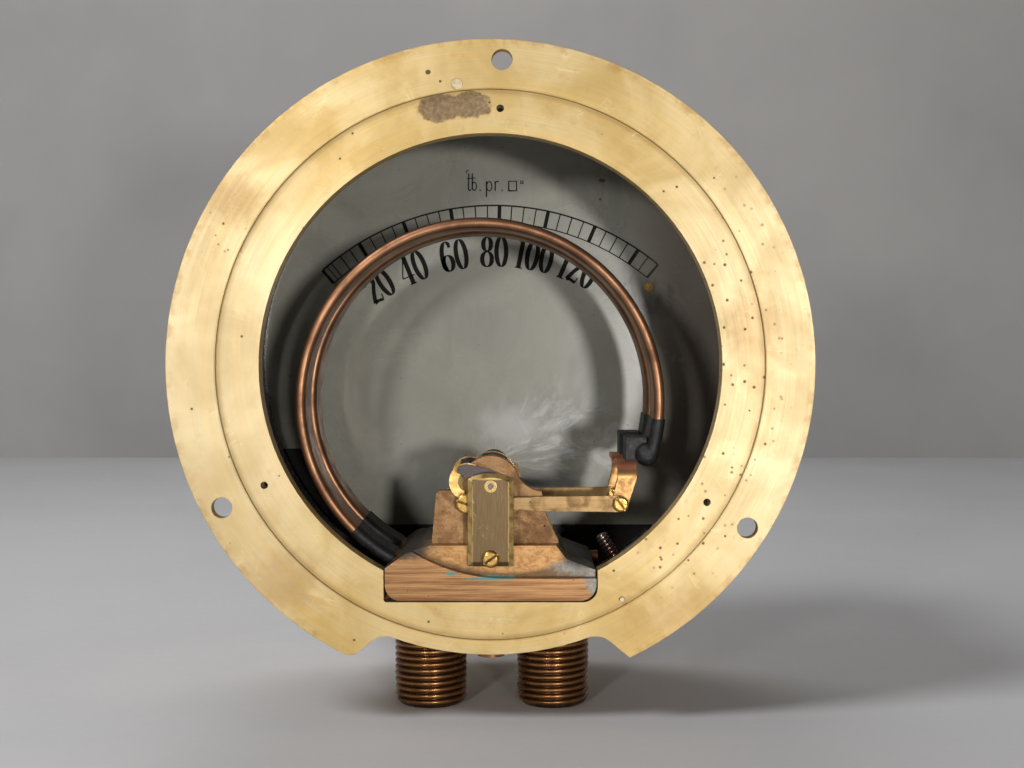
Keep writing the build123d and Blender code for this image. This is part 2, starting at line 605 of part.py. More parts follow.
def spring_hook(forward):
    """A hooked brass arm, held by one screw, that carries the leaf spring."""
    def at(radius, angle):
        return (HOOK_ARC_X + radius * cos(radians(angle)), HOOK_ARC_Z + radius * sin(radians(angle)))

    foot, side, mouth = -75, 20, 118
    outer = ThreePointArc(at(HOOK_OUTER, foot), at(HOOK_OUTER, side), at(HOOK_OUTER, mouth))
    end = Line(at(HOOK_OUTER, mouth), at(HOOK_INNER, mouth))
    inner = ThreePointArc(at(HOOK_INNER, mouth), at(HOOK_INNER, side), at(HOOK_INNER, foot))
    hook = make_face(outer + end + inner + Line(at(HOOK_INNER, foot), at(HOOK_OUTER, foot)))
    hook += Pos(HOOK_X, HOOK_Z) * Circle(2.3)
    hook -= Pos(HOOK_X, HOOK_Z) * Circle(HOOK_SCREW_R)
    return slab(hook, 7.2 + forward, CHEEK_NEAR + forward)


def hook_screw(forward):
    head = screw_head(2.8, 1.3, 0.7, 20, HOOK_X, HOOK_Z, 4.3 + forward)
    return head + disc(HOOK_SCREW_R, 5.6 + forward, 11.0 + forward, HOOK_X, HOOK_Z)


def leaf_spring(forward):
    """A tapered steel blade over the arbor, with the tab that is soldered to the hook."""
    blade = Polygon(
        (9.4, -29.6), (9.0, -27.9), (6.5, -27.3), (0.0, -28.6), (-2.4, -29.9), (0.0, -31.0), (6.0, -31.2),
        align=None,
    )
    tab = Pos(8.4, -28.9) * Rectangle(1.4, 1.4)
    return slab(blade, 4.5 + forward, 5.4 + forward) + slab(tab, 5.4 + forward, 7.2 + forward)


def front_bridge():
    """The plate that carries the hollow arbor in front, on two pillars."""
    plate = Pos(0, -37.5) * RectangleRounded(17, 13, 3)
    bridge = slab(plate, BRIDGE_NEAR, BRIDGE_NEAR + BRIDGE_T)
    bridge -= disc(HOLLOW_R + RUNNING, BRIDGE_NEAR, BRIDGE_NEAR + BRIDGE_T, 0, ARBOR_Z)
    for x in (-PILLAR_X, PILLAR_X):
        bridge -= disc(PILLAR_R - 0.6, BRIDGE_NEAR, BRIDGE_NEAR + BRIDGE_T, x, PILLAR_Z)
    return bridge


def bridge_pillars():
    near = CHEEK_FAR + TRAIN_PITCH
    return [
        ring(PILLAR_R, PILLAR_R - 0.7, near, BRIDGE_NEAR, x, PILLAR_Z) for x in (-PILLAR_X, PILLAR_X)
    ]


def bridge_screws():
    top = BRIDGE_NEAR + BRIDGE_T
    screws = []
    for x in (-PILLAR_X, PILLAR_X):
        head = disc(2.0, top, top + 1.4, x, PILLAR_Z)
        head -= slab(Pos(x, PILLAR_Z) * Rectangle(6, 0.6), top + 0.8, top + 2)
        screws.append(head + disc(PILLAR_R - 0.72, top - 10, top, x, PILLAR_Z))
    return screws


# ---------------------------------------------------------------- dial and pointers

def dial_plates():
    """The old dial, turned to face the works and cut straight below, and the dial in use."""
    chord = Pos(0, DIAL_CHORD_Z - 20) * Rectangle(160, 40)
    corner = Polygon((37.8, -51.4), (62.0, -28.3), (90.0, -28.3), (90.0, -80.0), (37.8, -80.0), align=None)
    backing = Circle(DIAL_R) - chord - corner - Pos(0, ARBOR_Z) * Circle(4.7)
    scale = Circle(DIAL_R) - Pos(0, ARBOR_Z) * Circle(3.0)
    for x, z in RIVET_PLACES:
        backing -= Pos(x, z) * Circle(1.0)
        scale -= Pos(x, z) * Circle(1.0)
    return slab(backing, PLATE_NEAR, PLATE_MID), slab(scale, PLATE_MID, SHOULDER_NEAR)


def dial_rivets():
    rivets = []
    for x, z in RIVET_PLACES:
        shank = disc(0.98, PLATE_NEAR, SHOULDER_NEAR, x, z)
        rear = disc(1.4, PLATE_NEAR - 0.6, PLATE_NEAR, x, z)
        rivets.append(shank + rear + disc(1.4, SHOULDER_NEAR, SHOULDER_NEAR + 0.5, x, z))
    return rivets


def snap_ring():
    """The sprung wire ring that holds the dial plates against the case's shoulder."""
    wire = Circle(BORE_R - 0.1) - Circle(BORE_R - 1.5) - Pos(0, -75) * Rectangle(12, 12)
    return slab(wire, PLATE_NEAR - 1.4, PLATE_NEAR)


def pointer(near, hub_r, shaft_r, tip_half):
    """A tapered pointer with a counterweight, standing at zero."""
    blade = Polygon(
        (-1.6, 0), (-tip_half, POINTER_LENGTH - 4), (0, POINTER_LENGTH), (tip_half, POINTER_LENGTH - 4),
        (1.6, 0), (1.0, -POINTER_TAIL + 5), (-1.0, -POINTER_TAIL + 5), align=None,
    )
    blade += Pos(0, -POINTER_TAIL + 4) * Circle(4.0) + Circle(hub_r)
    blade -= Circle(shaft_r)
    return slab(Pos(0, ARBOR_Z) * Rot(0, 0, -POINTER_ZERO) * blade, near, near + 0.8)


def pointers():
    """The hollow arbor's pointer, and the inner arbor's in front of it, each with its hub."""
    rear = pointer(79.7, 4.2, HOLLOW_R, 0.8) + ring(3.0, HOLLOW_R, 79.0, 80.5, 0, ARBOR_Z)
    front = pointer(82.4, 3.6, ARBOR_R, 0.6) + ring(2.4, ARBOR_R, 81.2, 83.4, 0, ARBOR_Z)
    return front, rear


# ---------------------------------------------------------------- write the nodes

os.makedirs("parts", exist_ok=True)
save("case_body", case_body())
save("flange_plugs", *flange_plugs())
save("front_bezel", front_bezel())
save("bezel_screws", *bezel_screws())
save("glass", disc(GLASS_R, GLASS_NEAR, GLASS_FAR))
save("glass_gasket", ring(DRUM_R - 0.1, BORE_R + 0.1, DRUM_DEPTH, GLASS_NEAR))
save("wall_screw", wall_screw())
save("socket_block", socket_block())
save("passage_plug", passage_plug())
save("socket_screws", *socket_screws())
save("union_a", union(UNION_X))
save("union_b", union(-UNION_X))
save("root_ferrules", *[root_ferrule(forward) for _, forward in TRAINS])
for train, forward in TRAINS:
    save(f"bourdon_tube_{train}", bourdon_tube(forward))
    save(f"tip_cap_{train}", tip_cap(forward))
    save(f"tip_clip_{train}", tip_clip(forward))
    save(f"rod_screw_{train}", rod_screw(forward))
    save(f"rod_{train}", rod(forward))
    save(f"sector_{train}", sector(forward))
    save(f"sector_pin_{train}", sector_pin(forward))
    save(f"hairspring_{train}", hairspring(SPRING_FIRST_R[train], forward))
save("hairspring_studs", *[hairspring_stud(SPRING_FIRST_R[train], forward) for train, forward in TRAINS])
save("sector_studs", *[sector_stud(forward) for _, forward in TRAINS])
save("arbor_a", arbor_a())
save("arbor_b", arbor_b())
save("collet_a", collet(ARBOR_R, COLLET_NEAR))
save("collet_b", collet(HOLLOW_R, COLLET_NEAR + TRAIN_PITCH))
save("rear_bar", rear_bar())
save("arbor_bush", arbor_bush())
save("bar_screw", bar_screw())
save("movement_frame_a", movement_frame(0.0, 8.0, 0.0, ARBOR_R + RUNNING))
save("movement_frame_b", movement_frame(TRAIN_PITCH, 6.0, 1.8, HOLLOW_R + RUNNING))
save("foot_screws", *foot_screws())
save("spring_hooks", *[spring_hook(forward) for _, forward in TRAINS])
save("hook_screws", *[hook_screw(forward) for _, forward in TRAINS])
save("leaf_springs", *[leaf_spring(forward) for _, forward in TRAINS])
save("front_bridge", front_bridge())
save("bridge_pillars", *bridge_pillars())
save("bridge_screws", *bridge_screws())
backing_plate, scale_plate = dial_plates()
save("backing_plate", backing_plate)
save("scale_plate", scale_plate)
save("dial_rivets", *dial_rivets())
save("dial_snap_ring", snap_ring())
pointer_a, pointer_b = pointers()
save("pointer_a", pointer_a)
save("pointer_b", pointer_b)
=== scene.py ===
import json
from math import cos, hypot, pi, radians, sin, tau

import bmesh
import bpy
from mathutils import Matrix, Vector


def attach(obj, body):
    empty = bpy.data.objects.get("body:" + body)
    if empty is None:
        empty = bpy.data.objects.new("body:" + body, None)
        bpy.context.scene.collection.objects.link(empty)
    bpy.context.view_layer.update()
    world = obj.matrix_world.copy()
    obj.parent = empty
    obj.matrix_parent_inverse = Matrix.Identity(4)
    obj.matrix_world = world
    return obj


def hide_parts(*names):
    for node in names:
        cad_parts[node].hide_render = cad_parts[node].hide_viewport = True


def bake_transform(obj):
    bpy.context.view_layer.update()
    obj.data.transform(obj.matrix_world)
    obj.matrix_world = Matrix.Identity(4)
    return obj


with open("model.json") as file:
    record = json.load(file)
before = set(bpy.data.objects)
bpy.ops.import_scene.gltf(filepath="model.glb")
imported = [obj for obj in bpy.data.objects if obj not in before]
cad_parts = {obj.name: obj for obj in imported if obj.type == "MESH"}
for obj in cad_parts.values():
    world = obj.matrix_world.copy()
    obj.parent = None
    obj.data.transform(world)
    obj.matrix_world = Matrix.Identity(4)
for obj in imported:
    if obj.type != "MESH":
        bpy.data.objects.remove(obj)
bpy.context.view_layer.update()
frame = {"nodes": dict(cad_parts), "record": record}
nodes = frame["nodes"]
MM = 0.001

# Places that repeat the CAD model's, in millimetres. X and Z are across and up, and a depth is -Y.
ARBOR_Z = -33.2
BAR_Z = -36.3
TUBE_X, TUBE_Z, TUBE_R, TUBE_DEPTH = 3.1, -10.4, 50.2, 15.0
TUBE_OUTSIDE, TUBE_BORE = (3.0, 14.0), (1.8, 12.8)
UNION_X, UNION_DEPTH = 17.8, 27.0
PAD_ARC_X, PAD_ARC_Z = -4.0, -10.0
OLD_FACE, NEW_FACE, INK_DEPTH = 75.68, 77.52, 0.06
TRAINS = (("a", 0.0), ("b", 24.0))
FLOOR_Z = -98.8


# ---------------------------------------------------------------- meshes

def mesh_object(name, points, faces, material, body, smooth=True):
    """A piece made of points in millimetres, which rides on a CAD body if one is given."""
    mesh = bpy.data.meshes.new(name)
    mesh.from_pydata([tuple(c * MM for c in p) for p in points], [], faces)
    mesh.validate()
    shell = bmesh.new()
    shell.from_mesh(mesh)
    bmesh.ops.recalc_face_normals(shell, faces=shell.faces)
    shell.to_mesh(mesh)
    shell.free()
    mesh.materials.append(material)
    piece = bpy.data.objects.new(name, mesh)
    bpy.context.scene.collection.objects.link(piece)
    for polygon in mesh.polygons:
        polygon.use_smooth = smooth
    if body:
        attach(piece, body)
    return piece


class Builder:
    """Gathers points and faces from several lofts into one mesh."""

    def __init__(self):
        self.points, self.faces = [], []

    def loft(self, rings, closed=False):
        """Skins a run of rings.

        A closed run joins its last ring to its first, and an open one gets end faces.
        """
        count = len(rings[0])
        start = len(self.points)
        for one in rings:
            self.points += one
        runs = len(rings) if closed else len(rings) - 1
        for i in range(runs):
            a = start + i * count
            b = start + (i + 1) % len(rings) * count
            for j in range(count):
                k = (j + 1) % count
                self.faces.append((a + j, a + k, b + k, b + j))
        if not closed:
            last = start + (len(rings) - 1) * count
            self.faces.append(tuple(start + j for j in reversed(range(count))))
            self.faces.append(tuple(last + j for j in range(count)))


def crest(turn):
    """A thread's shape along one pitch: 0 in the groove, 1 on the rounded crest."""
    t = min(1.0, (0.5 - abs(turn % 1.0 - 0.5)) / 0.34)
    return t * t * (3 - 2 * t)


def thread_rings(length, major, minor, pitch, lead_in, plain=0.0, columns=64, rows=9):
    """Rings of (across, along, side) points down a thread, which starts after a plain length."""
    rings = []
    steps = round(length / pitch * rows)
    for i in range(steps + 1):
        down = length * i / steps
        fade = min(1.0, max(0.0, (down - plain) / pitch))
        cap = major - max(0.0, lead_in - (length - down))
        one = []
        for j in range(columns):
            turn = j / columns
            deep = (major - minor) * (1 - crest(down / pitch - turn)) * fade
            r = min(major - deep, cap)
            one.append((r * cos(tau * turn), down, r * sin(tau * turn)))
        rings.append(one)
    return rings


def circle_ring(radius, down, columns=64):
    turns = [tau * j / columns for j in range(columns)]
    return [(radius * cos(turn), down, radius * sin(turn)) for turn in turns]


# ---------------------------------------------------------------- node materials

class Graph:
    """A material's nodes. Every pattern is in millimetres of the object's own coordinates."""

    def __init__(self, name):
        self.material = bpy.data.materials.new(name)
        self.material.use_nodes = True
        self.tree = self.material.node_tree
        self.tree.nodes.clear()
        coord = self.add("ShaderNodeTexCoord", {})
        self.place = self.vector("SCALE", coord.outputs["Object"], scale=1 / MM)
        self.x, self.y, self.z = self.split(self.place)

    def add(self, kind, values, **settings):
        node = self.tree.nodes.new(kind)
        for key, value in settings.items():
            setattr(node, key, value)
        for key, value in values.items():
            self.put(node.inputs[key], value)
        return node

    def put(self, socket, value):
        if isinstance(value, bpy.types.NodeSocket):
            self.tree.links.new(value, socket)
        elif isinstance(value, tuple) and len(value) == 3 and socket.type == "RGBA":
            socket.default_value = (*value, 1.0)
        else:
            socket.default_value = value

    def math(self, operation, a, b=0.0, c=0.0, clamp=False):
        node = self.add("ShaderNodeMath", {0: a, 1: b, 2: c}, operation=operation, use_clamp=clamp)
        return node.outputs[0]

    def vector(self, operation, a, b=(0.0, 0.0, 0.0), scale=1.0):
        node = self.add("ShaderNodeVectorMath", {0: a, 1: b, 3: scale}, operation=operation)
        return node.outputs["Value" if operation in ("LENGTH", "DOT_PRODUCT") else "Vector"]

    def split(self, value):
        return tuple(self.add("ShaderNodeSeparateXYZ", {0: value}).outputs)

    def join(self, x, y, z):
        return self.add("ShaderNodeCombineXYZ", {0: x, 1: y, 2: z}).outputs[0]

    def noise(self, where, scale, detail=3.0, rough=0.55, warp=0.0):
        values = {"Vector": where, "Scale": scale, "Detail": detail, "Roughness": rough, "Distortion": warp}
        return self.add("ShaderNodeTexNoise", values).outputs[0]

    def step(self, value, low, high, start=0.0, end=1.0):
        """A smooth change from start to end as the value goes from low to high."""
        values = {0: value, 1: low, 2: high, 3: start, 4: end}
        return self.add("ShaderNodeMapRange", values, interpolation_type="SMOOTHSTEP").outputs[0]

    def mix(self, factor, a, b, blend="MIX"):
        node = self.add("ShaderNodeMix", {0: factor, 6: a, 7: b}, data_type="RGBA", blend_type=blend)
        return node.outputs[2]

    def radius(self, x=0.0, z=0.0):
        """The distance from an axis along Y through a place."""
        flat = self.join(self.math("SUBTRACT", self.x, x), 0.0, self.math("SUBTRACT", self.z, z))
        return self.vector("LENGTH", flat)

    def around(self, step_mm, turn, x=0.0, z=0.0):
        """Coordinates for marks that run round an axis along Y: fine across, long around."""
        flat = self.join(self.math("SUBTRACT", self.x, x), 0.0, self.math("SUBTRACT", self.z, z))
        r = self.vector("LENGTH", flat)
        way = self.vector("NORMALIZE", flat)
        wx, _, wz = self.split(way)
        return self.join(
            self.math("MULTIPLY", r, 1 / step_mm),
            self.math("MULTIPLY_ADD", wx, turn, self.math("MULTIPLY", self.y, 0.8)),
            self.math("MULTIPLY", wz, turn),
        )

    def stretched(self, sx, sy, sz):
        return self.vector("MULTIPLY", self.place, (1 / sx, 1 / sy, 1 / sz))

    def blob(self, x, z, rx, rz, soft=0.35, warp=0.8, size=0.35):
        """1 inside an uneven patch about a place in X and Z, 0 outside."""
        dx = self.math("MULTIPLY", self.math("SUBTRACT", self.x, x), 1 / rx)
        dz = self.math("MULTIPLY", self.math("SUBTRACT", self.z, z), 1 / rz)
        far = self.vector("LENGTH", self.join(dx, 0.0, dz))
        uneven = self.math("MULTIPLY_ADD", self.noise(self.place, size, 4.0), warp, -warp / 2)
        return self.step(self.math("ADD", far, uneven), 1 - soft, 1 + soft, 1.0, 0.0)

    def dots(self, cell_mm, low, high, share):
        """Round spots, in that share of the cells."""
        values = {"Vector": self.place, "Scale": 1 / cell_mm, "Randomness": 1.0}
        cells = self.add("ShaderNodeTexVoronoi", values)
        chosen = self.math("LESS_THAN", self.split(cells.outputs["Color"])[0], share)
        return self.math("MULTIPLY", self.step(cells.outputs["Distance"], low, high, 1.0, 0.0), chosen)

    def scratches(self, angle, length_mm, share=0.5, width=0.012):
        """Thin, slightly curved marks in one direction across the XZ plane."""
        c, s = cos(radians(angle)), sin(radians(angle))
        along = self.math("MULTIPLY_ADD", self.x, c, self.math("MULTIPLY", self.z, s))
        across = self.math("MULTIPLY_ADD", self.z, c, self.math("MULTIPLY", self.x, -s))
        along = self.math("MULTIPLY", along, 1 / length_mm)
        where = self.join(along, self.y, self.math("MULTIPLY", across, 0.35))
        line = self.math("ABSOLUTE", self.math("SUBTRACT", self.noise(where, 1.0, 1.0), 0.5))
        line = self.step(line, 0.0, width, 1.0, 0.0)
        gate = self.step(self.noise(self.place, 0.12, 1.0), share, share + 0.12)
        return self.math("MULTIPLY", line, gate)

    def crevice(self, reach_mm=0.9):
        """1 in slots and inner corners of the piece itself: painted shade, with dirt."""
        values = {"Distance": reach_mm * MM}
        node = self.add("ShaderNodeAmbientOcclusion", values, samples=6, only_local=True)
        return self.step(node.outputs["AO"], 0.9, 0.45)

    def most(self, *values):
        result = values[0]
        for value in values[1:]:
            result = self.math("MAXIMUM", result, value)
        return result

    def share(self, value, amount):
        return self.math("MULTIPLY", value, amount)

    def surface(self, colour, roughness, height, metallic, bump, deep_mm, edge_mm, **more):
        """The finished material. More holds any other sockets, with _ for a space."""
        normal = None
        if edge_mm:
            normal = self.add("ShaderNodeBevel", {"Radius": edge_mm * MM}, samples=4).outputs[0]
        values = {"Strength": bump, "Distance": deep_mm * MM, "Height": height}
        if normal is not None:
            values["Normal"] = normal
        normal = self.add("ShaderNodeBump", values).outputs[0]
        values = {"Base Color": colour, "Roughness": roughness, "Metallic": metallic, "Normal": normal}
        for key, value in more.items():
            values[key.replace("_", " ")] = value
        shader = self.add("ShaderNodeBsdfPrincipled", values)
        out = self.add("ShaderNodeOutputMaterial", {})
        self.tree.links.new(shader.outputs[0], out.inputs[0])
        return self.material


def srgb(r, g, b):
    """A colour given as 0 to 255 values on screen."""
    return tuple(c / 255 / 12.92 if c <= 10 else ((c / 255 + 0.055) / 1.055) ** 2.4 for c in (r, g, b))


def metal(name, light, dark, grain, rough=(0.28, 0.45), patch_mm=9.0, patches=0.8, pits=0.06, bump=0.25,
          deep_mm=0.04, edge_mm=0.15, lighten=None, metallic=0.9, cast=0.0, cavity_shade_and_dirt=0.0, **more):
    """Worn metal. The grain is a function of the graph that gives the coordinates of its marks."""
    g = Graph(name)
    marks = g.noise(grain(g), 1.0, 4.0, 0.6)
    patch = g.step(g.noise(g.place, 1 / patch_mm, 4.0, 0.6, 0.4), 0.35, 0.68)
    colour = g.mix(g.share(patch, patches), light, dark)
    tint = g.step(marks, 0.3, 0.7)
    colour = g.mix(g.share(tint, 0.28), colour, g.mix(0.5, dark, light), "MULTIPLY")
    colour = g.mix(0.12, colour, g.mix(tint, (0.6, 0.6, 0.6), (1.0, 1.0, 1.0)), "SOFT_LIGHT")
    spots = g.dots(2.2, 0.05, 0.16, pits)
    colour = g.mix(g.share(spots, 0.75), colour, tuple(c * 0.22 for c in dark))
    if lighten:
        colour = lighten(g, colour)
    scratch = g.most(g.scratches(24, 9), g.scratches(-51, 12))
    colour = g.mix(g.share(scratch, 0.3), colour, tuple(min(1.0, c * 1.5) for c in light))
    height = g.math("MULTIPLY_ADD", marks, 0.5, g.share(spots, -1.0))
    if cast:
        grains = g.noise(g.place, 1.6, 5.0, 0.7)
        height = g.math("MULTIPLY_ADD", grains, cast, height)
        colour = g.mix(g.share(g.step(grains, 0.52, 0.3), 0.45), colour, tuple(c * 0.4 for c in dark))
    # Painted shade, with dirt: slots and inner corners darkened to near black.
    if cavity_shade_and_dirt:
        colour = g.mix(g.share(g.crevice(), cavity_shade_and_dirt), colour, tuple(c * 0.06 for c in dark))
    uneven = g.math("MULTIPLY_ADD", patch, 0.5, g.share(marks, 0.5))
    roughness = g.step(uneven, 0.2, 0.8, *rough)
    return g.surface(colour, roughness, height, metallic, bump, deep_mm, edge_mm, **more)


def along_x(g):
    return g.stretched(14.0, 0.35, 0.35)


def along_z(g):
    return g.stretched(0.3, 0.35, 9.0)


def fine(g):
    return g.stretched(0.8, 0.8, 0.8)


def round_arbor(g):
    return g.around(0.22, 3.0, 0.0, ARBOR_Z)


def round_tube(g):
    return g.around(0.35, 4.0, TUBE_X, TUBE_Z)


def level_rings(g):
    return g.stretched(6.0, 6.0, 0.3)


def round_centre(g):
    return g.around(0.25, 3.0)


def rough_cast(g):
    return g.stretched(3.0, 1.0, 1.4)


def case_brass():
    """The case: turned and lacquered brass, stained on the rear ring, with a painted highlight at the left
    and right, a painted shadow along the step, and brown metal inside the drum darkened as painted shade.
    """
    g = Graph("case_brass")
    turned = g.noise(g.around(0.28, 3.0), 1.0, 4.0, 0.65)
    broad = g.noise(g.around(2.6, 1.6), 1.0, 3.0, 0.5)
    cloud = g.noise(g.place, 0.045, 4.0, 0.6, 0.5)
    colour = g.mix(g.step(cloud, 0.36, 0.66), srgb(202, 181, 136), srgb(186, 160, 106))
    colour = g.mix(g.share(g.step(broad, 0.42, 0.7), 0.35), colour, srgb(206, 172, 104))
    colour = g.mix(g.share(g.step(turned, 0.35, 0.72), 0.3), colour, srgb(190, 154, 92))
    small = g.noise(g.place, 0.22, 5.0, 0.65)
    colour = g.mix(g.share(g.step(small, 0.54, 0.76), 0.4), colour, srgb(172, 138, 84))
    outward = g.vector("NORMALIZE", g.join(g.x, 0.0, g.z))
    # Painted highlight: the ring is paler at its left and right sides.
    side_painted_highlight = g.step(g.math("ABSOLUTE", g.split(outward)[0]), 0.55, 1.0)
    colour = g.mix(g.share(side_painted_highlight, 0.3), colour, srgb(214, 204, 178))
    r = g.radius()
    smudges = g.most(
        g.blob(56.3, -58.6, 9.0, 8.0, 0.6, 1.4, 0.25), g.blob(-57.0, -69.0, 15.0, 7.0, 0.7, 1.5, 0.2),
        g.blob(70.0, 46.0, 7.0, 6.0, 0.6, 1.5, 0.3), g.blob(-72.0, 8.0, 6.0, 16.0, 0.6, 1.5, 0.3),
    )
    rim = g.math("MULTIPLY", g.step(r, 86.0, 88.6), g.step(small, 0.44, 0.6))
    colour = g.mix(g.share(g.most(smudges, rim), 0.38), colour, srgb(150, 112, 64))
    # Painted shadow: a darker band along the step near r 75.
    step_painted_shadow = g.math("MULTIPLY", g.step(r, 73.6, 75.2), g.step(r, 75.9, 75.5))
    colour = g.mix(g.share(step_painted_shadow, 0.45), colour, srgb(140, 116, 70))
    flat = g.math("MULTIPLY", g.math("GREATER_THAN", g.y, -2.2), g.math("LESS_THAN", r, 75.3))
    stain = g.most(
        g.blob(5.6, 71.2, 5.8, 3.6, 0.12, 0.9, 0.5),
        g.blob(14.2, 70.4, 5.6, 3.8, 0.12, 0.9, 0.5),
    )
    stain = g.math("MULTIPLY", stain, flat)
    mottle = g.mix(g.step(g.noise(g.place, 0.9, 4.0), 0.3, 0.7), srgb(124, 100, 72), srgb(158, 134, 102))
    colour = g.mix(g.share(stain, 0.92), colour, mottle)
    right = g.step(g.x, -46.0, -58.0)
    spots = g.most(
        g.dots(3.4, 0.06, 0.15, 0.1),
        g.math("MULTIPLY", g.dots(2.6, 0.09, 0.24, 0.7), g.math("MULTIPLY", right, g.blob(-66, 0, 14, 44))),
        g.math("MULTIPLY", g.dots(2.4, 0.09, 0.24, 0.7), g.blob(-52, -46, 12, 14, 0.5)),
        g.math("MULTIPLY", g.dots(2.1, 0.1, 0.28, 0.7), g.blob(73, 36, 6, 6, 0.5)),
        g.blob(16.9, 79.9, 0.75, 0.65, 0.2, 0.3, 1.0),
    )
    colour = g.mix(g.share(spots, 0.9), colour, srgb(78, 52, 24))
    scratch = g.most(g.scratches(62, 26, 0.56), g.scratches(12, 34, 0.58), g.scratches(-38, 22, 0.58))
    colour = g.mix(g.share(scratch, 0.16), colour, srgb(250, 236, 190))
    # Painted shade: inside the drum the brass is darkened to a dark brown.
    inside = g.math("MULTIPLY", g.step(r, 76.6, 76.2), g.math("LESS_THAN", g.y, -7.3))
    brown = g.mix(g.noise(g.place, 0.3), srgb(44, 34, 27), srgb(84, 64, 46))
    colour = g.mix(inside, colour, brown)
    marks = g.math("MULTIPLY_ADD", spots, -0.8, g.share(scratch, -0.25))
    height = g.math("MULTIPLY_ADD", turned, 0.5, marks)
    rough = g.step(g.math("MULTIPLY_ADD", turned, 0.5, g.share(cloud, 0.5)), 0.25, 0.75, 0.45, 0.6)
    rough = g.math("MULTIPLY_ADD", g.most(stain, inside), 0.3, rough)
    metallic = g.math("MULTIPLY_ADD", g.most(g.share(stain, 0.7), inside), -0.85, 0.92)
    return g.surface(colour, rough, height, metallic, 0.3, 0.03, 0.22, Anisotropic=0.5, Tangent=outward)


def socket_bronze():
    """The socket: sawn and filed bronze with verdigris, soot at the solder, darker low down and at the
    back, and grey tin at its ends.
    """
    g = Graph("socket_bronze")
    filed = g.noise(g.stretched(16.0, 0.5, 0.28), 1.0, 5.0, 0.65)
    broad = g.noise(g.stretched(26.0, 2.0, 0.8), 1.0, 4.0, 0.6)
    colour = g.mix(g.step(broad, 0.36, 0.66), srgb(166, 126, 84), srgb(126, 88, 58))
    colour = g.mix(g.share(g.step(filed, 0.5, 0.68), 0.7), colour, srgb(104, 72, 46))
    colour = g.mix(g.share(g.step(filed, 0.46, 0.34), 0.6), colour, srgb(200, 160, 116))
    pad = g.step(g.y, -3.4, -3.7)
    milled = g.noise(g.stretched(2.6, 1.0, 1.5), 1.0, 4.0, 0.6, 1.2)
    tan = g.mix(g.step(milled, 0.34, 0.68), srgb(178, 138, 90), srgb(144, 104, 64))
    colour = g.mix(pad, colour, tan)
    level = g.math("MULTIPLY", g.step(g.z, -56.2, -58.3), g.step(g.x, -2.0, -8.0))
    round_edge = g.step(g.radius(PAD_ARC_X, PAD_ARC_Z), 46.4, 48.3)
    shadow = g.math("MULTIPLY", g.most(round_edge, level), pad)
    colour = g.mix(g.share(shadow, 0.75), colour, srgb(64, 50, 38))
    green = g.most(
        g.blob(0.1, -58.5, 5.4, 0.45, 0.5, 2.6, 1.1),
        g.blob(10.9, -57.2, 1.5, 0.45, 0.5, 2.4, 1.3),
    )
    colour = g.mix(g.share(green, 0.85), colour, srgb(64, 134, 130))
    solder = g.most(
        g.blob(-24.5, -56.0, 7.0, 2.0, 0.5, 1.3, 0.5), g.blob(-28.8, -59.0, 2.6, 3.6, 0.4, 1.0, 0.5),
        g.blob(29.6, -53.6, 1.5, 2.6, 0.4, 0.8, 0.6),
    )
    grey = g.mix(g.noise(g.place, 1.2, 4.0), srgb(70, 70, 66), srgb(156, 152, 144))
    colour = g.mix(g.share(solder, 0.9), colour, grey)
    # Soot at the two solder joints; the socket is also darkened below z -65 and deeper than 14 to 20 mm.
    soot = g.most(
        g.blob(26.0, -50.2, 9.0, 3.0, 0.4, 0.9, 0.4), g.blob(-25.0, -52.6, 5.0, 3.2, 0.5, 0.9, 0.4),
        g.step(g.z, -65.2, -66.2), g.step(g.y, -14.0, -20.0),
    )
    colour = g.mix(g.share(soot, 0.88), colour, srgb(36, 33, 32))
    edge = g.step(g.z, -63.4, -64.7)
    colour = g.mix(g.share(edge, 0.5), colour, srgb(96, 58, 36))
    spots = g.dots(1.9, 0.06, 0.16, 0.12)
    colour = g.mix(g.share(spots, 0.6), colour, srgb(74, 46, 28))
    height = g.math("MULTIPLY_ADD", filed, 0.7, g.math("MULTIPLY_ADD", milled, 0.3, g.share(spots, -0.5)))
    rough = g.step(filed, 0.3, 0.7, 0.3, 0.48)
    rough = g.math("MULTIPLY_ADD", soot, 0.2, rough)
    metallic = g.math("MULTIPLY_ADD", g.most(soot, green), -0.7, 0.85)
    return g.surface(colour, rough, height, metallic, 0.4, 0.08, 0.3)


def bar_brass():
    """The rear bar: a brown, smooth middle inside a lighter filed bevel."""
    g = Graph("bar_brass")
    brushed = g.noise(g.stretched(0.35, 0.5, 7.0), 1.0, 4.0, 0.6)
    worn = g.noise(g.place, 0.35, 4.0, 0.6, 0.5)
    half = g.math("ABSOLUTE", g.x)
    uneven = g.math("MULTIPLY_ADD", worn, 1.0, g.most(half, g.math("SUBTRACT", g.z, BAR_Z)))
    rim = g.step(uneven, 5.2, 5.7)
    middle = g.mix(g.step(brushed, 0.36, 0.66), srgb(104, 86, 61), srgb(94, 76, 52))
    middle = g.mix(g.share(g.step(worn, 0.5, 0.72), 0.35), middle, srgb(112, 84, 56))
    bright = g.mix(g.step(worn, 0.4, 0.65), srgb(198, 168, 106), srgb(150, 120, 72))
    colour = g.mix(rim, middle, bright)
    spots = g.dots(1.6, 0.06, 0.15, 0.1)
    colour = g.mix(g.share(spots, 0.6), colour, srgb(84, 58, 30))
    scratch = g.most(g.scratches(80, 6), g.scratches(64, 9, 0.55))
    colour = g.mix(g.share(scratch, 0.14), colour, srgb(228, 206, 160))
    height = g.math("MULTIPLY_ADD", brushed, 0.4, g.share(spots, -0.8))
    rough = g.math("MULTIPLY_ADD", rim, -0.08, g.step(brushed, 0.3, 0.7, 0.36, 0.46))
    return g.surface(colour, rough, height, 0.85, 0.2, 0.03, 0.2)


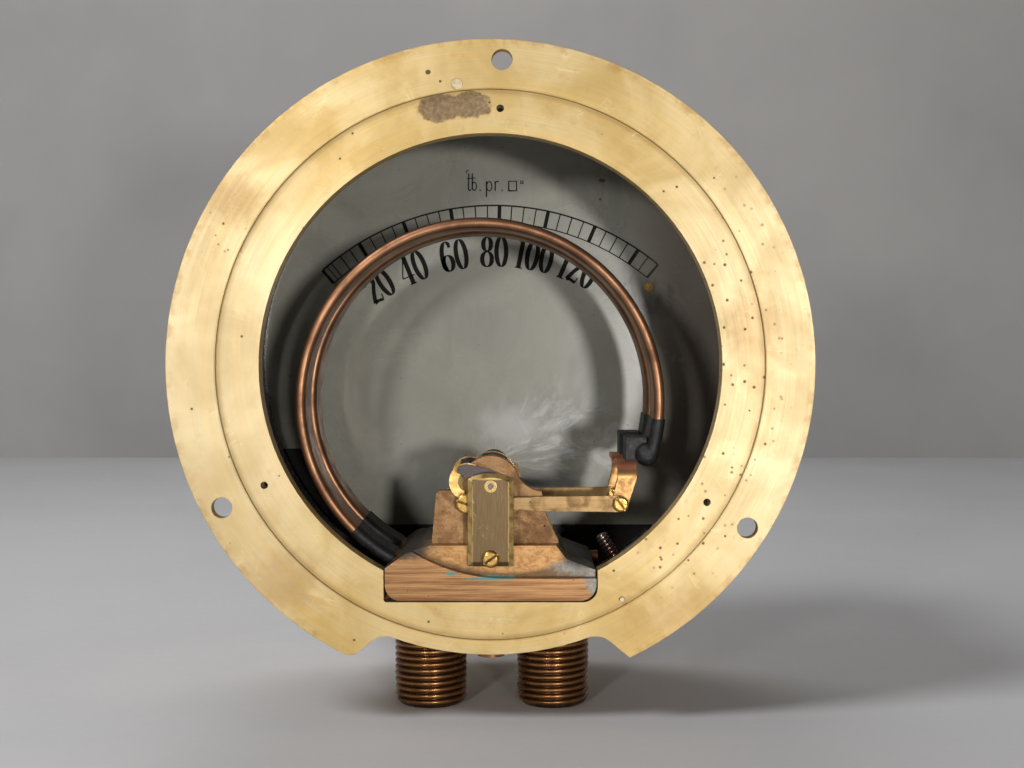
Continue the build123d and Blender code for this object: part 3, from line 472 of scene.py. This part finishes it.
def dial_enamel(name, light, dark, aged):
    """Old dial paint: glossy, stained, with fly specks and rubbed streaks. On the old face, painted shade
    darkens the right side and the top, and a painted glare lies over the rubbed streaks.
    """
    g = Graph(name)
    cloud = g.noise(g.place, 0.035, 5.0, 0.6, 0.6)
    colour = g.mix(g.step(cloud, 0.34, 0.66), light, dark)
    wipe = g.noise(g.stretched(9.0, 5.0, 22.0), 1.0, 4.0, 0.6, 1.0)
    colour = g.mix(g.share(g.step(wipe, 0.5, 0.75), 0.25 * aged), colour, tuple(c * 0.62 for c in dark))
    specks = g.most(g.dots(4.2, 0.02, 0.07, 0.35), g.dots(9.0, 0.03, 0.06, 0.4))
    roughness = g.step(cloud, 0.3, 0.7, 0.2, 0.34)
    if aged == 1.0:
        # Painted shade, with stain: the right side is darker and browner.
        side = g.step(g.math("MULTIPLY_ADD", cloud, 26.0, g.x), -28.0, -52.0)
        colour = g.mix(g.share(side, 0.5), colour, srgb(104, 84, 74))
        # Painted shade: the top is a little darker.
        top = g.step(g.math("MULTIPLY_ADD", cloud, 20.0, g.z), 44.0, 74.0)
        colour = g.mix(g.share(top, 0.15), colour, srgb(84, 82, 74))
        # Painted glare, with rubbed streaks: a pale patch right of the arbor.
        flow = g.noise(g.around(9.0, 7.0, 0.0, ARBOR_Z), 1.0, 4.0, 0.6, 0.6)
        painted_glare_patch = g.blob(-19.0, -25.0, 19.0, 13.0, 0.7, 0.8, 0.12)
        rubbed = g.math("MULTIPLY", g.step(flow, 0.4, 0.66), painted_glare_patch)
        rubbed = g.most(rubbed, g.share(g.blob(-6.0, -21.5, 9.0, 6.0, 0.7, 1.2, 0.2), 0.8))
        colour = g.mix(g.share(rubbed, 0.75), colour, srgb(214, 214, 212))
        bare = g.math("MULTIPLY", g.blob(-47.0, 22.0, 11.0, 7.0, 0.6, 1.3, 0.2), g.step(wipe, 0.4, 0.6))
        colour = g.mix(g.share(bare, 0.6), colour, srgb(58, 46, 42))
        red = g.blob(-35.0, 58.3, 1.0, 0.6, 0.4, 0.8, 0.6)
        colour = g.mix(g.share(red, 0.8), colour, srgb(96, 34, 44))
    colour = g.mix(g.share(specks, 0.75), colour, srgb(52, 46, 40))
    if aged < 1.0:
        behind = g.step(g.y, -77.3, -76.9)
        colour = g.mix(behind, colour, srgb(24, 21, 20))
    height = g.math("MULTIPLY_ADD", g.noise(g.place, 0.5, 2.0), 0.4, g.share(specks, 0.5))
    return g.surface(colour, roughness, height, 0.0, 0.12, 0.05, 0.0, Coat_Weight=0.5, Coat_Roughness=0.12)


def ink(name, dark, worn):
    """Printed ink, thin and worn at the side where the dial was rubbed."""
    g = Graph(name)
    patchy = g.noise(g.place, 0.7, 4.0, 0.65)
    colour = g.mix(g.step(patchy, 0.4, 0.75), dark, tuple(c * 1.6 + 0.004 for c in dark))
    if worn:
        rubbed = g.step(g.math("MULTIPLY_ADD", patchy, 14.0, g.x), -34.0, -50.0)
        colour = g.mix(g.share(rubbed, 0.62), colour, srgb(104, 100, 92))
    rough = g.step(patchy, 0.3, 0.7, 0.65, 0.85)
    return g.surface(colour, rough, patchy, 0.0, 0.1, 0.02, 0.0, Specular_IOR_Level=0.2)


def black_paint(name):
    """Thick black paint with brush ridges and dust."""
    g = Graph(name)
    ridges = g.noise(g.place, 0.7, 4.0, 0.6, 0.8)
    dust = g.noise(g.place, 0.25, 3.0)
    colour = g.mix(g.step(dust, 0.45, 0.75), srgb(15, 15, 17), srgb(35, 35, 37))
    colour = g.mix(g.share(g.dots(1.7, 0.05, 0.15, 0.14), 0.6), colour, srgb(112, 104, 96))
    rough = g.step(ridges, 0.3, 0.7, 0.42, 0.62)
    return g.surface(colour, rough, ridges, 0.0, 0.35, 0.12, 0.2, Specular_IOR_Level=0.35)


def enamel(name, light, dark):
    """Pointer paint, slightly faded and scratched."""
    g = Graph(name)
    faded = g.noise(g.place, 0.3, 4.0)
    colour = g.mix(g.step(faded, 0.35, 0.7), light, dark)
    colour = g.mix(g.share(g.scratches(40, 7, 0.4), 0.5), colour, srgb(150, 120, 90))
    return g.surface(colour, g.step(faded, 0.3, 0.7, 0.25, 0.4), faded, 0.0, 0.1, 0.02, 0.1)


def glass():
    """The window, faintly dirty."""
    g = Graph("window_glass")
    dirt = g.noise(g.place, 0.08, 4.0, 0.6)
    colour = g.mix(g.step(dirt, 0.4, 0.8), (0.97, 0.99, 0.98), (0.9, 0.94, 0.92))
    rough = g.step(dirt, 0.45, 0.8, 0.01, 0.05)
    return g.surface(colour, rough, dirt, 0.0, 0.02, 0.02, 0.0, Transmission_Weight=1.0, IOR=1.45)


def gasket():
    """Old rubber under the window."""
    g = Graph("gasket_rubber")
    grain = g.noise(g.place, 2.0, 4.0)
    colour = g.mix(grain, srgb(22, 22, 22), srgb(48, 46, 44))
    return g.surface(colour, g.step(grain, 0.3, 0.7, 0.55, 0.8), grain, 0.0, 0.3, 0.05, 0.0)


def hook_light(g, colour):
    return g.mix(g.share(g.step(g.noise(g.place, 0.6, 3.0), 0.4, 0.6), 0.5), colour, srgb(255, 226, 150))


def clip_copper(g, colour):
    """The curled top of the clip: heat-tinted copper pink, brightened as a painted highlight."""
    heat_tint_and_highlight = g.step(g.math("MULTIPLY_ADD", g.noise(g.place, 0.4, 3.0), 2.0, g.z), -28.6, -26.8)
    return g.mix(g.share(heat_tint_and_highlight, 0.8), colour, srgb(240, 156, 122))


def rust(g, colour):
    red = g.step(g.radius(), 62.0, 67.0)
    return g.mix(g.share(red, 0.75), colour, srgb(120, 66, 52))


def thread_dirt(g, colour):
    """Darker colour in the grooves of the unions' threads."""
    radii = []
    for side in (-UNION_X, UNION_X):
        flat = g.join(g.math("SUBTRACT", g.x, side), g.math("ADD", g.y, UNION_DEPTH), 0.0)
        radii.append(g.vector("LENGTH", flat))
    groove = g.step(g.math("MINIMUM", *radii), 10.3, 9.7)
    return g.mix(g.share(groove, 0.8), colour, srgb(52, 34, 20))


MATERIALS = {
    "case_brass": case_brass(),
    "bezel_brass": metal("bezel_brass", srgb(206, 182, 130), srgb(168, 136, 84), round_centre,
                         (0.3, 0.46), 16.0, 0.7, 0.1),
    "movement_brass": metal("movement_brass", srgb(144, 118, 80), srgb(108, 82, 52), along_x,
                            (0.34, 0.5), 4.0, 0.9, 0.12, cavity_shade_and_dirt=0.6),
    "hook_brass": metal("hook_brass", srgb(214, 178, 108), srgb(172, 130, 66), fine, (0.3, 0.44), 3.0,
                        lighten=hook_light),
    "screw_brass": metal("screw_brass", srgb(206, 168, 96), srgb(148, 108, 54), fine,
                         (0.26, 0.4), 1.6, cavity_shade_and_dirt=0.95),
    "clip_brass": metal("clip_brass", srgb(176, 138, 88), srgb(128, 90, 54), along_z, (0.32, 0.46), 3.0,
                        lighten=clip_copper),
    "bush_brass": metal("bush_brass", srgb(208, 178, 120), srgb(156, 128, 78), round_arbor,
                        (0.24, 0.36), 1.5),
    "bar_brass": bar_brass(),
    "cast_bronze": metal("cast_bronze", srgb(156, 120, 80), srgb(122, 88, 56), rough_cast,
                         (0.42, 0.6), 5.0, 0.8, 0.2, 0.8, 0.2, 0.3, metallic=0.7, cast=0.9, cavity_shade_and_dirt=0.4),
    "socket_bronze": socket_bronze(),
    "dark_bronze": metal("dark_bronze", srgb(166, 120, 76), srgb(112, 76, 46), level_rings,
                         (0.26, 0.42), 5.0, 0.8, lighten=thread_dirt),
    "copper": metal("copper", srgb(158, 116, 86), srgb(108, 76, 55), round_tube,
                    (0.38, 0.5), 11.0, 0.9, 0.1, 0.2, 0.03, 0.0),
    "spring_bronze": metal("spring_bronze", srgb(198, 156, 96), srgb(140, 98, 54), fine, (0.22, 0.34), 2.0),
    "steel": metal("steel", srgb(136, 130, 128), srgb(84, 78, 76), fine, (0.22, 0.36), 2.5, 0.8, 0.1),
    "blade_steel": metal("blade_steel", srgb(122, 113, 114), srgb(82, 74, 74), along_x, (0.16, 0.28), 3.0),
    "screw_steel": metal("screw_steel", srgb(150, 134, 126), srgb(84, 62, 54), fine, (0.18, 0.32), 2.0,
                         lighten=rust),
    "lead_fill": metal("lead_fill", srgb(196, 182, 146), srgb(158, 144, 110), fine,
                       (0.4, 0.55), 1.2, metallic=0.5),
    "grey_enamel": dial_enamel("grey_enamel", srgb(164, 163, 150), srgb(140, 139, 126), 1.0),
    "white_enamel": dial_enamel("white_enamel", srgb(226, 222, 206), srgb(206, 200, 180), 0.5),
    "black_enamel": black_paint("black_enamel"),
    "pointer_black": enamel("pointer_black", srgb(24, 24, 26), srgb(44, 42, 42)),
    "red_enamel": enamel("red_enamel", srgb(176, 34, 26), srgb(138, 24, 22)),
    "glass": glass(),
    "gasket": gasket(),
    "old_ink": ink("old_ink", srgb(16, 15, 14), True),
    "ink": ink("ink", srgb(20, 20, 22), False),
}

# What the carried-over CAD pieces wear, where it isn't simply their own slot.
WEAR = {
    "front_bezel": "bezel_brass", "bezel_screws": "screw_brass", "rear_bar": "bar_brass",
    "arbor_bush": "bush_brass", "bar_screw": "screw_brass", "rod_screw_a": "screw_brass",
    "rod_screw_b": "screw_brass", "hook_screws": "screw_brass", "foot_screws": "screw_brass",
    "bridge_screws": "screw_brass", "spring_hooks": "hook_brass", "leaf_springs": "blade_steel",
    "tip_clip_a": "clip_brass", "tip_clip_b": "clip_brass", "dial_rivets": "screw_brass",
}
SLOTS = {row["node"]: row["material_slot"] for row in frame["record"]["subparts"]}
for name, node in nodes.items():
    node.data.materials.clear()
    node.data.materials.append(MATERIALS[WEAR.get(name, SLOTS[name])])


# ---------------------------------------------------------------- threads

def union_piece(name, x):
    """A union with its thread, its lead-in at the mouth, its spigot and its bore."""
    major, minor, pitch, lead_in, plain = 10.45, 9.45, 1.814, 1.7, 4.5
    top, bore = -62.2, 4.0
    spigot_r, spigot_end, collar_r, collar = 8.85, 6.9, 10.1, 7.0
    rings = [circle_ring(bore, 0.0), circle_ring(spigot_r, 0.0)]
    rings += [circle_ring(spigot_r, spigot_end), circle_ring(collar_r, collar)]
    start = 7.1
    for one in thread_rings(top - FLOOR_Z - start, major, minor, pitch, lead_in, plain):
        rings.append([(a, down + start, b) for a, down, b in one])
    rings.append(circle_ring(bore + 0.5, top - FLOOR_Z))
    rings.append(circle_ring(bore, top - FLOOR_Z - 0.5))
    turned = [[(x + a, -UNION_DEPTH - b, top - down) for a, down, b in one] for one in rings]
    build = Builder()
    build.loft(turned, closed=True)
    bronze = MATERIALS["dark_bronze"]
    piece = mesh_object(f"{name}_threaded", build.points, build.faces, bronze, "case")
    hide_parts(name)


union_piece("union_a", UNION_X)
union_piece("union_b", -UNION_X)


def wall_screw_piece():
    """The long screw through the drum's wall, with its thread and its head."""
    clock, depth = radians(147.5), 30.0
    tip, head, head_r, shank = 59.5, 79.6, 3.3, 1.85
    minor, pitch, lead_in, plain, thread_start = 1.32, 1.25, 0.5, 1.5, 2.3
    rings = [circle_ring(head_r * 0.9, 0.0), circle_ring(head_r, 0.4), circle_ring(head_r, 2.2)]
    rings.append(circle_ring(shank, 2.25))
    for one in thread_rings(head - tip, shank, minor, pitch, lead_in, plain, rows=10):
        rings.append([(a, down + thread_start, b) for a, down, b in one])
    rings.append(circle_ring(0.9, head - tip + 2.45))
    out = Vector((-sin(clock), 0.0, cos(clock)))
    side = Vector((cos(clock), 0.0, sin(clock)))
    base = out * (head + thread_start) - Vector((0.0, depth, 0.0))
    turned = []
    for one in rings:
        turned.append([tuple(base - out * down + side * a - Vector((0.0, b, 0.0))) for a, down, b in one])
    build = Builder()
    build.loft(turned)
    steel = MATERIALS["screw_steel"]
    piece = mesh_object("wall_screw_threaded", build.points, build.faces, steel, "case")
    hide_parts("wall_screw")


wall_screw_piece()


# ---------------------------------------------------------------- Bourdon tubes

def tube_section(thick, wide, corner_steps=8):
    """A flattened tube's section: round edges joined by flats."""
    r = thick / 2
    points = []
    for end in (1, -1):
        for i in range(corner_steps + 1):
            a = pi * i / corner_steps
            points.append((end * r * cos(a), end * (wide / 2 - r + r * sin(a))))
    return points


def tube_piece(train, forward):
    """A tube along its arc from the root to the tip."""
    start, end, steps = 246.0, -13.6, 120
    rings = []
    for (thick, wide), order in ((TUBE_OUTSIDE, 1), (TUBE_BORE, -1)):
        section = tube_section(thick, wide)
        for i in range(steps + 1)[::order]:
            a = radians(start + (end - start) * i / steps)
            ring_points = []
            for out, deep in section:
                r = TUBE_R + out
                y = -TUBE_DEPTH - forward - deep
                ring_points.append((TUBE_X - r * cos(a), y, TUBE_Z + r * sin(a)))
            rings.append(ring_points)
    build = Builder()
    build.loft(rings, closed=True)
    name = f"bourdon_tube_{train}_flexing"
    piece = mesh_object(name, build.points, build.faces, MATERIALS["copper"], None)
    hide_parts(f"bourdon_tube_{train}")
    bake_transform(piece)


for train, forward in TRAINS:
    tube_piece(train, forward)


# ---------------------------------------------------------------- printing on the dials

# The pen's widths and the figures' narrowing, as shares of a figure's height.
THICK, THIN, NARROW = 0.145, 0.04, 0.92


def bow(cx, cy, rx, ry, start, end, steps=20):
    """Points along part of an ellipse, by angle in degrees."""
    return [
        (cx + rx * cos(radians(start + (end - start) * i / steps)),
         cy + ry * sin(radians(start + (end - start) * i / steps)))
        for i in range(steps + 1)
    ]


# Each figure is an advance and its pen strokes, in a box one unit high. A stroke has a pen, which is
# None for one that is broad when it moves up or down and thin when it moves across.
FIGURES = {
    "0": (0.5, [(bow(0.24, 0.5, 0.17, 0.47, 0, 360, 40), None)]),
    "1": (0.34, [([(0.17, 0.98), (0.17, 0.02)], THICK), ([(0.05, 0.86), (0.17, 0.96)], THIN),
                 ([(0.05, 0.02), (0.3, 0.02)], THIN)]),
    "2": (0.5, [(bow(0.23, 0.74, 0.16, 0.23, 165, -25, 24) + [(0.22, 0.4), (0.07, 0.07)], None),
                ([(0.06, 0.07), (0.2, 0.1), (0.4, 0.055)], 0.1), ([(0.4, 0.07), (0.425, 0.24)], THIN),
                ([(0.08, 0.76), (0.12, 0.7)], 0.11)]),
    "4": (0.52, [([(0.33, 0.97), (0.04, 0.3)], THIN), ([(0.03, 0.28), (0.48, 0.28)], THIN),
                 ([(0.33, 0.98), (0.33, 0.03)], THICK), ([(0.22, 0.02), (0.44, 0.02)], THIN)]),
    "6": (0.5, [(bow(0.25, 0.5, 0.18, 0.47, 50, 270, 28), None),
                (bow(0.25, 0.28, 0.165, 0.255, -90, 270, 32), None),
                ([(0.35, 0.86), (0.37, 0.78)], 0.1)]),
    "8": (0.5, [(bow(0.24, 0.74, 0.135, 0.22, 0, 360, 32), None),
                (bow(0.24, 0.26, 0.17, 0.24, 0, 360, 32), None)]),
}
# The unit, pounds per square inch, in the old shorthand.
UNIT = [
    ([(0.0, 0.98), (-0.06, 1.1), (0.02, 1.2), (0.1, 1.12)], 0.05), ([(0.1, 1.0), (0.08, 0.05)], 0.075),
    (bow(0.15, 0.1, 0.07, 0.09, 180, 360, 8), 0.05), ([(0.3, 1.0), (0.3, 0.06)], 0.075),
    (bow(0.42, 0.26, 0.12, 0.24, 0, 360, 20), 0.06), ([(-0.03, 0.7), (0.5, 0.74)], 0.05),
    ([(0.72, 0.03), (0.8, 0.03)], 0.07), ([(1.12, 0.55), (1.12, -0.35)], 0.075),
    (bow(1.28, 0.26, 0.15, 0.27, 0, 360, 20), 0.06), ([(1.62, 0.55), (1.62, 0.0)], 0.075),
    (bow(1.75, 0.36, 0.13, 0.18, 180, 50, 8), 0.06), ([(1.98, 0.03), (2.06, 0.03)], 0.07),
    ([(2.4, 0.0), (2.85, 0.0), (2.85, 0.55), (2.4, 0.55), (2.4, -0.03)], 0.085),
    ([(3.1, 0.6), (3.1, 0.42)], 0.06), ([(3.22, 0.6), (3.22, 0.42)], 0.06),
    ([(3.06, 0.42), (3.26, 0.42)], 0.04),
]


def pen_ribbon(path, pen):
    """The left and right edges of a stroke."""
    edges = []
    for i, (x, y) in enumerate(path):
        before, after = path[max(0, i - 1)], path[min(len(path) - 1, i + 1)]
        dx, dy = after[0] - before[0], after[1] - before[1]
        length = hypot(dx, dy)
        dx, dy = dx / length, dy / length
        width = THIN + (THICK - THIN) * abs(dy) ** 2.2 if pen is None else pen
        across, up = dy * width / 2, dx * width / 2
        edges.append(((x - across, y + up), (x + across, y - up)))
    return edges


class Print:
    """Thin ink on one face of a dial, laid out round the arbor. The mirror is -1 on the rear face."""

    def __init__(self, face_depth, out, mirror):
        self.depths = (face_depth, face_depth + out)
        self.mirror = mirror
        self.build = Builder()

    def ribbon(self, edges):
        rings = []
        for left, right in edges:
            section = [(left, 0), (right, 0), (right, 1), (left, 1)]
            rings.append([(self.mirror * p[0], -self.depths[k], p[1]) for p, k in section])
        self.build.loft(rings)

    def polar(self, angle, radius):
        return (radius * sin(angle), ARBOR_Z + radius * cos(angle))

    def arc(self, radius, start, end, width, steps=90):
        edges = []
        for i in range(steps + 1):
            a = radians(start + (end - start) * i / steps)
            edges.append((self.polar(a, radius - width / 2), self.polar(a, radius + width / 2)))
        self.ribbon(edges)

    def tick(self, angle, inner, outer, width):
        a = radians(angle)
        half = width / 2
        edges = []
        for radius in (inner, outer):
            x, z = self.polar(a, radius)
            edges.append(((x - half * cos(a), z + half * sin(a)), (x + half * cos(a), z - half * sin(a))))
        self.ribbon(edges)

    def strokes(self, strokes, size, origin, angle):
        """Strokes from an origin in the face's own across and up, where across is to the reader's right."""
        c, s = cos(radians(angle)), sin(radians(angle))
        for path, pen in strokes:
            edges = []
            for pair in pen_ribbon(path, pen):
                turned = [(x * c + y * s, y * c - x * s) for x, y in pair]
                edges.append(tuple((origin[0] + size * x, origin[1] + size * y) for x, y in turned))
            self.ribbon(edges)

    def number(self, text, angle, radius, size):
        wide = NARROW * sum(FIGURES[figure][0] for figure in text)
        a = radians(angle)
        x, z = self.polar(a, radius - size / 2)
        at = -wide / 2
        for figure in text:
            advance, strokes = FIGURES[figure]
            origin = (x + size * at * cos(a), z - size * at * sin(a))
            narrow = [([(NARROW * px, py) for px, py in path], pen) for path, pen in strokes]
            self.strokes(narrow, size, origin, angle)
            at += NARROW * advance

    def piece(self, name, material):
        points, faces = self.build.points, self.build.faces
        mesh_object(name, points, faces, MATERIALS[material], "case", smooth=False)


def old_scale():
    """The old dial's print, on the face that now looks to the rear."""
    face = Print(OLD_FACE, -INK_DEPTH, -1)
    inner, outer = 78.0, 83.5

    def angle(value):
        """The old scale is a little closer below 20."""
        return -31.4 + (value - 20) * (0.545 if value > 20 else 0.505)

    face.arc(outer, angle(0), angle(150), 0.5)
    face.arc(inner, angle(0), angle(150), 0.36)
    for value in range(5, 150, 5):
        face.tick(angle(value), inner, outer, 1.2 if value % 20 == 0 else 0.36)
    face.tick(angle(0), inner, outer, 0.9)
    face.tick(angle(0) + 1.3, inner, outer, 0.28)
    face.tick(angle(150), inner, outer, 0.8)
    # Lettered by hand, so each number stands a little off its mark.
    for value, off in ((20, -1.4), (40, -1.9), (60, -1.1), (80, -1.1), (100, -1.0), (120, 0.4)):
        face.number(str(value), angle(value) + off, 68.6, 10.0)
    face.strokes(UNIT, 5.6, (-8.6, 55.0), 0)
    face.piece("old_dial_print", "old_ink")


def new_scale():
    """The dial in use: 0 to 150, read with the two pointers."""
    face = Print(NEW_FACE, INK_DEPTH, 1)
    zero, per_lb = -40.5, 0.54
    inner, outer = 79.0, 84.0
    face.arc(outer, zero, zero + 150 * per_lb, 0.4)
    face.arc(inner, zero, zero + 150 * per_lb, 0.3)
    for value in range(0, 151, 5):
        face.tick(zero + value * per_lb, inner, outer, 1.2 if value % 20 == 0 else 0.35)
    for value in range(0, 141, 20):
        face.number(str(value), zero + value * per_lb, 71.5, 8.4)
    face.strokes(UNIT, 5.6, (-9.2, 14.0), 0)
    face.piece("dial_print", "ink")


old_scale()
new_scale()


# ---------------------------------------------------------------- stage, light and camera

def stage_material(name, light, dark, scale):
    g = Graph(name)
    cloud = g.noise(g.place, scale, 4.0, 0.6)
    fine_grain = g.noise(g.place, 0.4, 3.0)
    colour = g.mix(g.step(cloud, 0.3, 0.7), light, dark)
    return g.surface(colour, g.step(fine_grain, 0.3, 0.7, 0.55, 0.7), fine_grain, 0.0, 0.08, 0.1, 0.0)


def plane(name, corners, material):
    mesh = bpy.data.meshes.new(name)
    mesh.from_pydata([tuple(c * MM for c in p) for p in corners], [], [(0, 1, 2, 3)])
    mesh.materials.append(material)
    made = bpy.data.objects.new(name, mesh)
    bpy.context.scene.collection.objects.link(made)


FLOOR = stage_material("floor_paint", srgb(212, 211, 212), srgb(204, 203, 204), 0.004)
WALL = stage_material("wall_paint", srgb(180, 177, 174), srgb(168, 165, 163), 0.004)
REACH, WALL_Y, WALL_TOP = 3000, -900.0, 2200
# The line where the floor meets the wall.
FOOT = [(-REACH, WALL_Y, FLOOR_Z), (REACH, WALL_Y, FLOOR_Z)]
plane("floor", FOOT + [(REACH, REACH, FLOOR_Z), (-REACH, REACH, FLOOR_Z)], FLOOR)
plane("wall", FOOT + [(REACH, WALL_Y, WALL_TOP), (-REACH, WALL_Y, WALL_TOP)], WALL)


def area_light(name, place, target, size, energy, colour=(1.0, 1.0, 1.0)):
    data = bpy.data.lights.new(name, "AREA")
    data.shape = "DISK"
    data.size = size
    data.energy = energy
    data.color = colour
    lamp = bpy.data.objects.new(name, data)
    lamp.location = place
    lamp.rotation_euler = (Vector(target) - Vector(place)).to_track_quat("-Z", "Y").to_euler()
    bpy.context.scene.collection.objects.link(lamp)


area_light("lamp_right", (-0.26, 1.0, -0.01), (0.0, -0.03, 0.0), 0.08, 4.2, (1.0, 0.98, 0.95))
area_light("lamp_left", (0.34, 1.0, 0.15), (0.0, -0.03, 0.0), 0.1, 2.7, (1.0, 0.99, 0.97))
area_light("overhead", (0.75, 0.55, 0.95), (0.0, -0.05, 0.0), 0.45, 9.5, (0.97, 0.98, 1.0))
area_light("front", (0.1, -0.62, 0.75), (0.0, -0.05, 0.0), 0.5, 2.0)

world = bpy.data.worlds.new("studio")
world.use_nodes = True
background = world.node_tree.nodes["Background"]
background.inputs["Color"].default_value = (0.86, 0.87, 0.9, 1.0)
background.inputs["Strength"].default_value = 0.1
bpy.context.scene.world = world
bpy.context.scene.view_settings.view_transform = "Standard"

TILT_DOWN = 1.87
camera_data = bpy.data.cameras.new("camera")
camera_data.lens = 52.73
camera_data.sensor_width = 36.0
camera_data.clip_start = 0.01
camera = bpy.data.objects.new("camera", camera_data)
camera.location = (-0.0059, 0.410, 0.0085)
camera.rotation_euler = (radians(90 - TILT_DOWN), 0.0, pi)
bpy.context.scene.collection.objects.link(camera)
bpy.context.scene.camera = camera
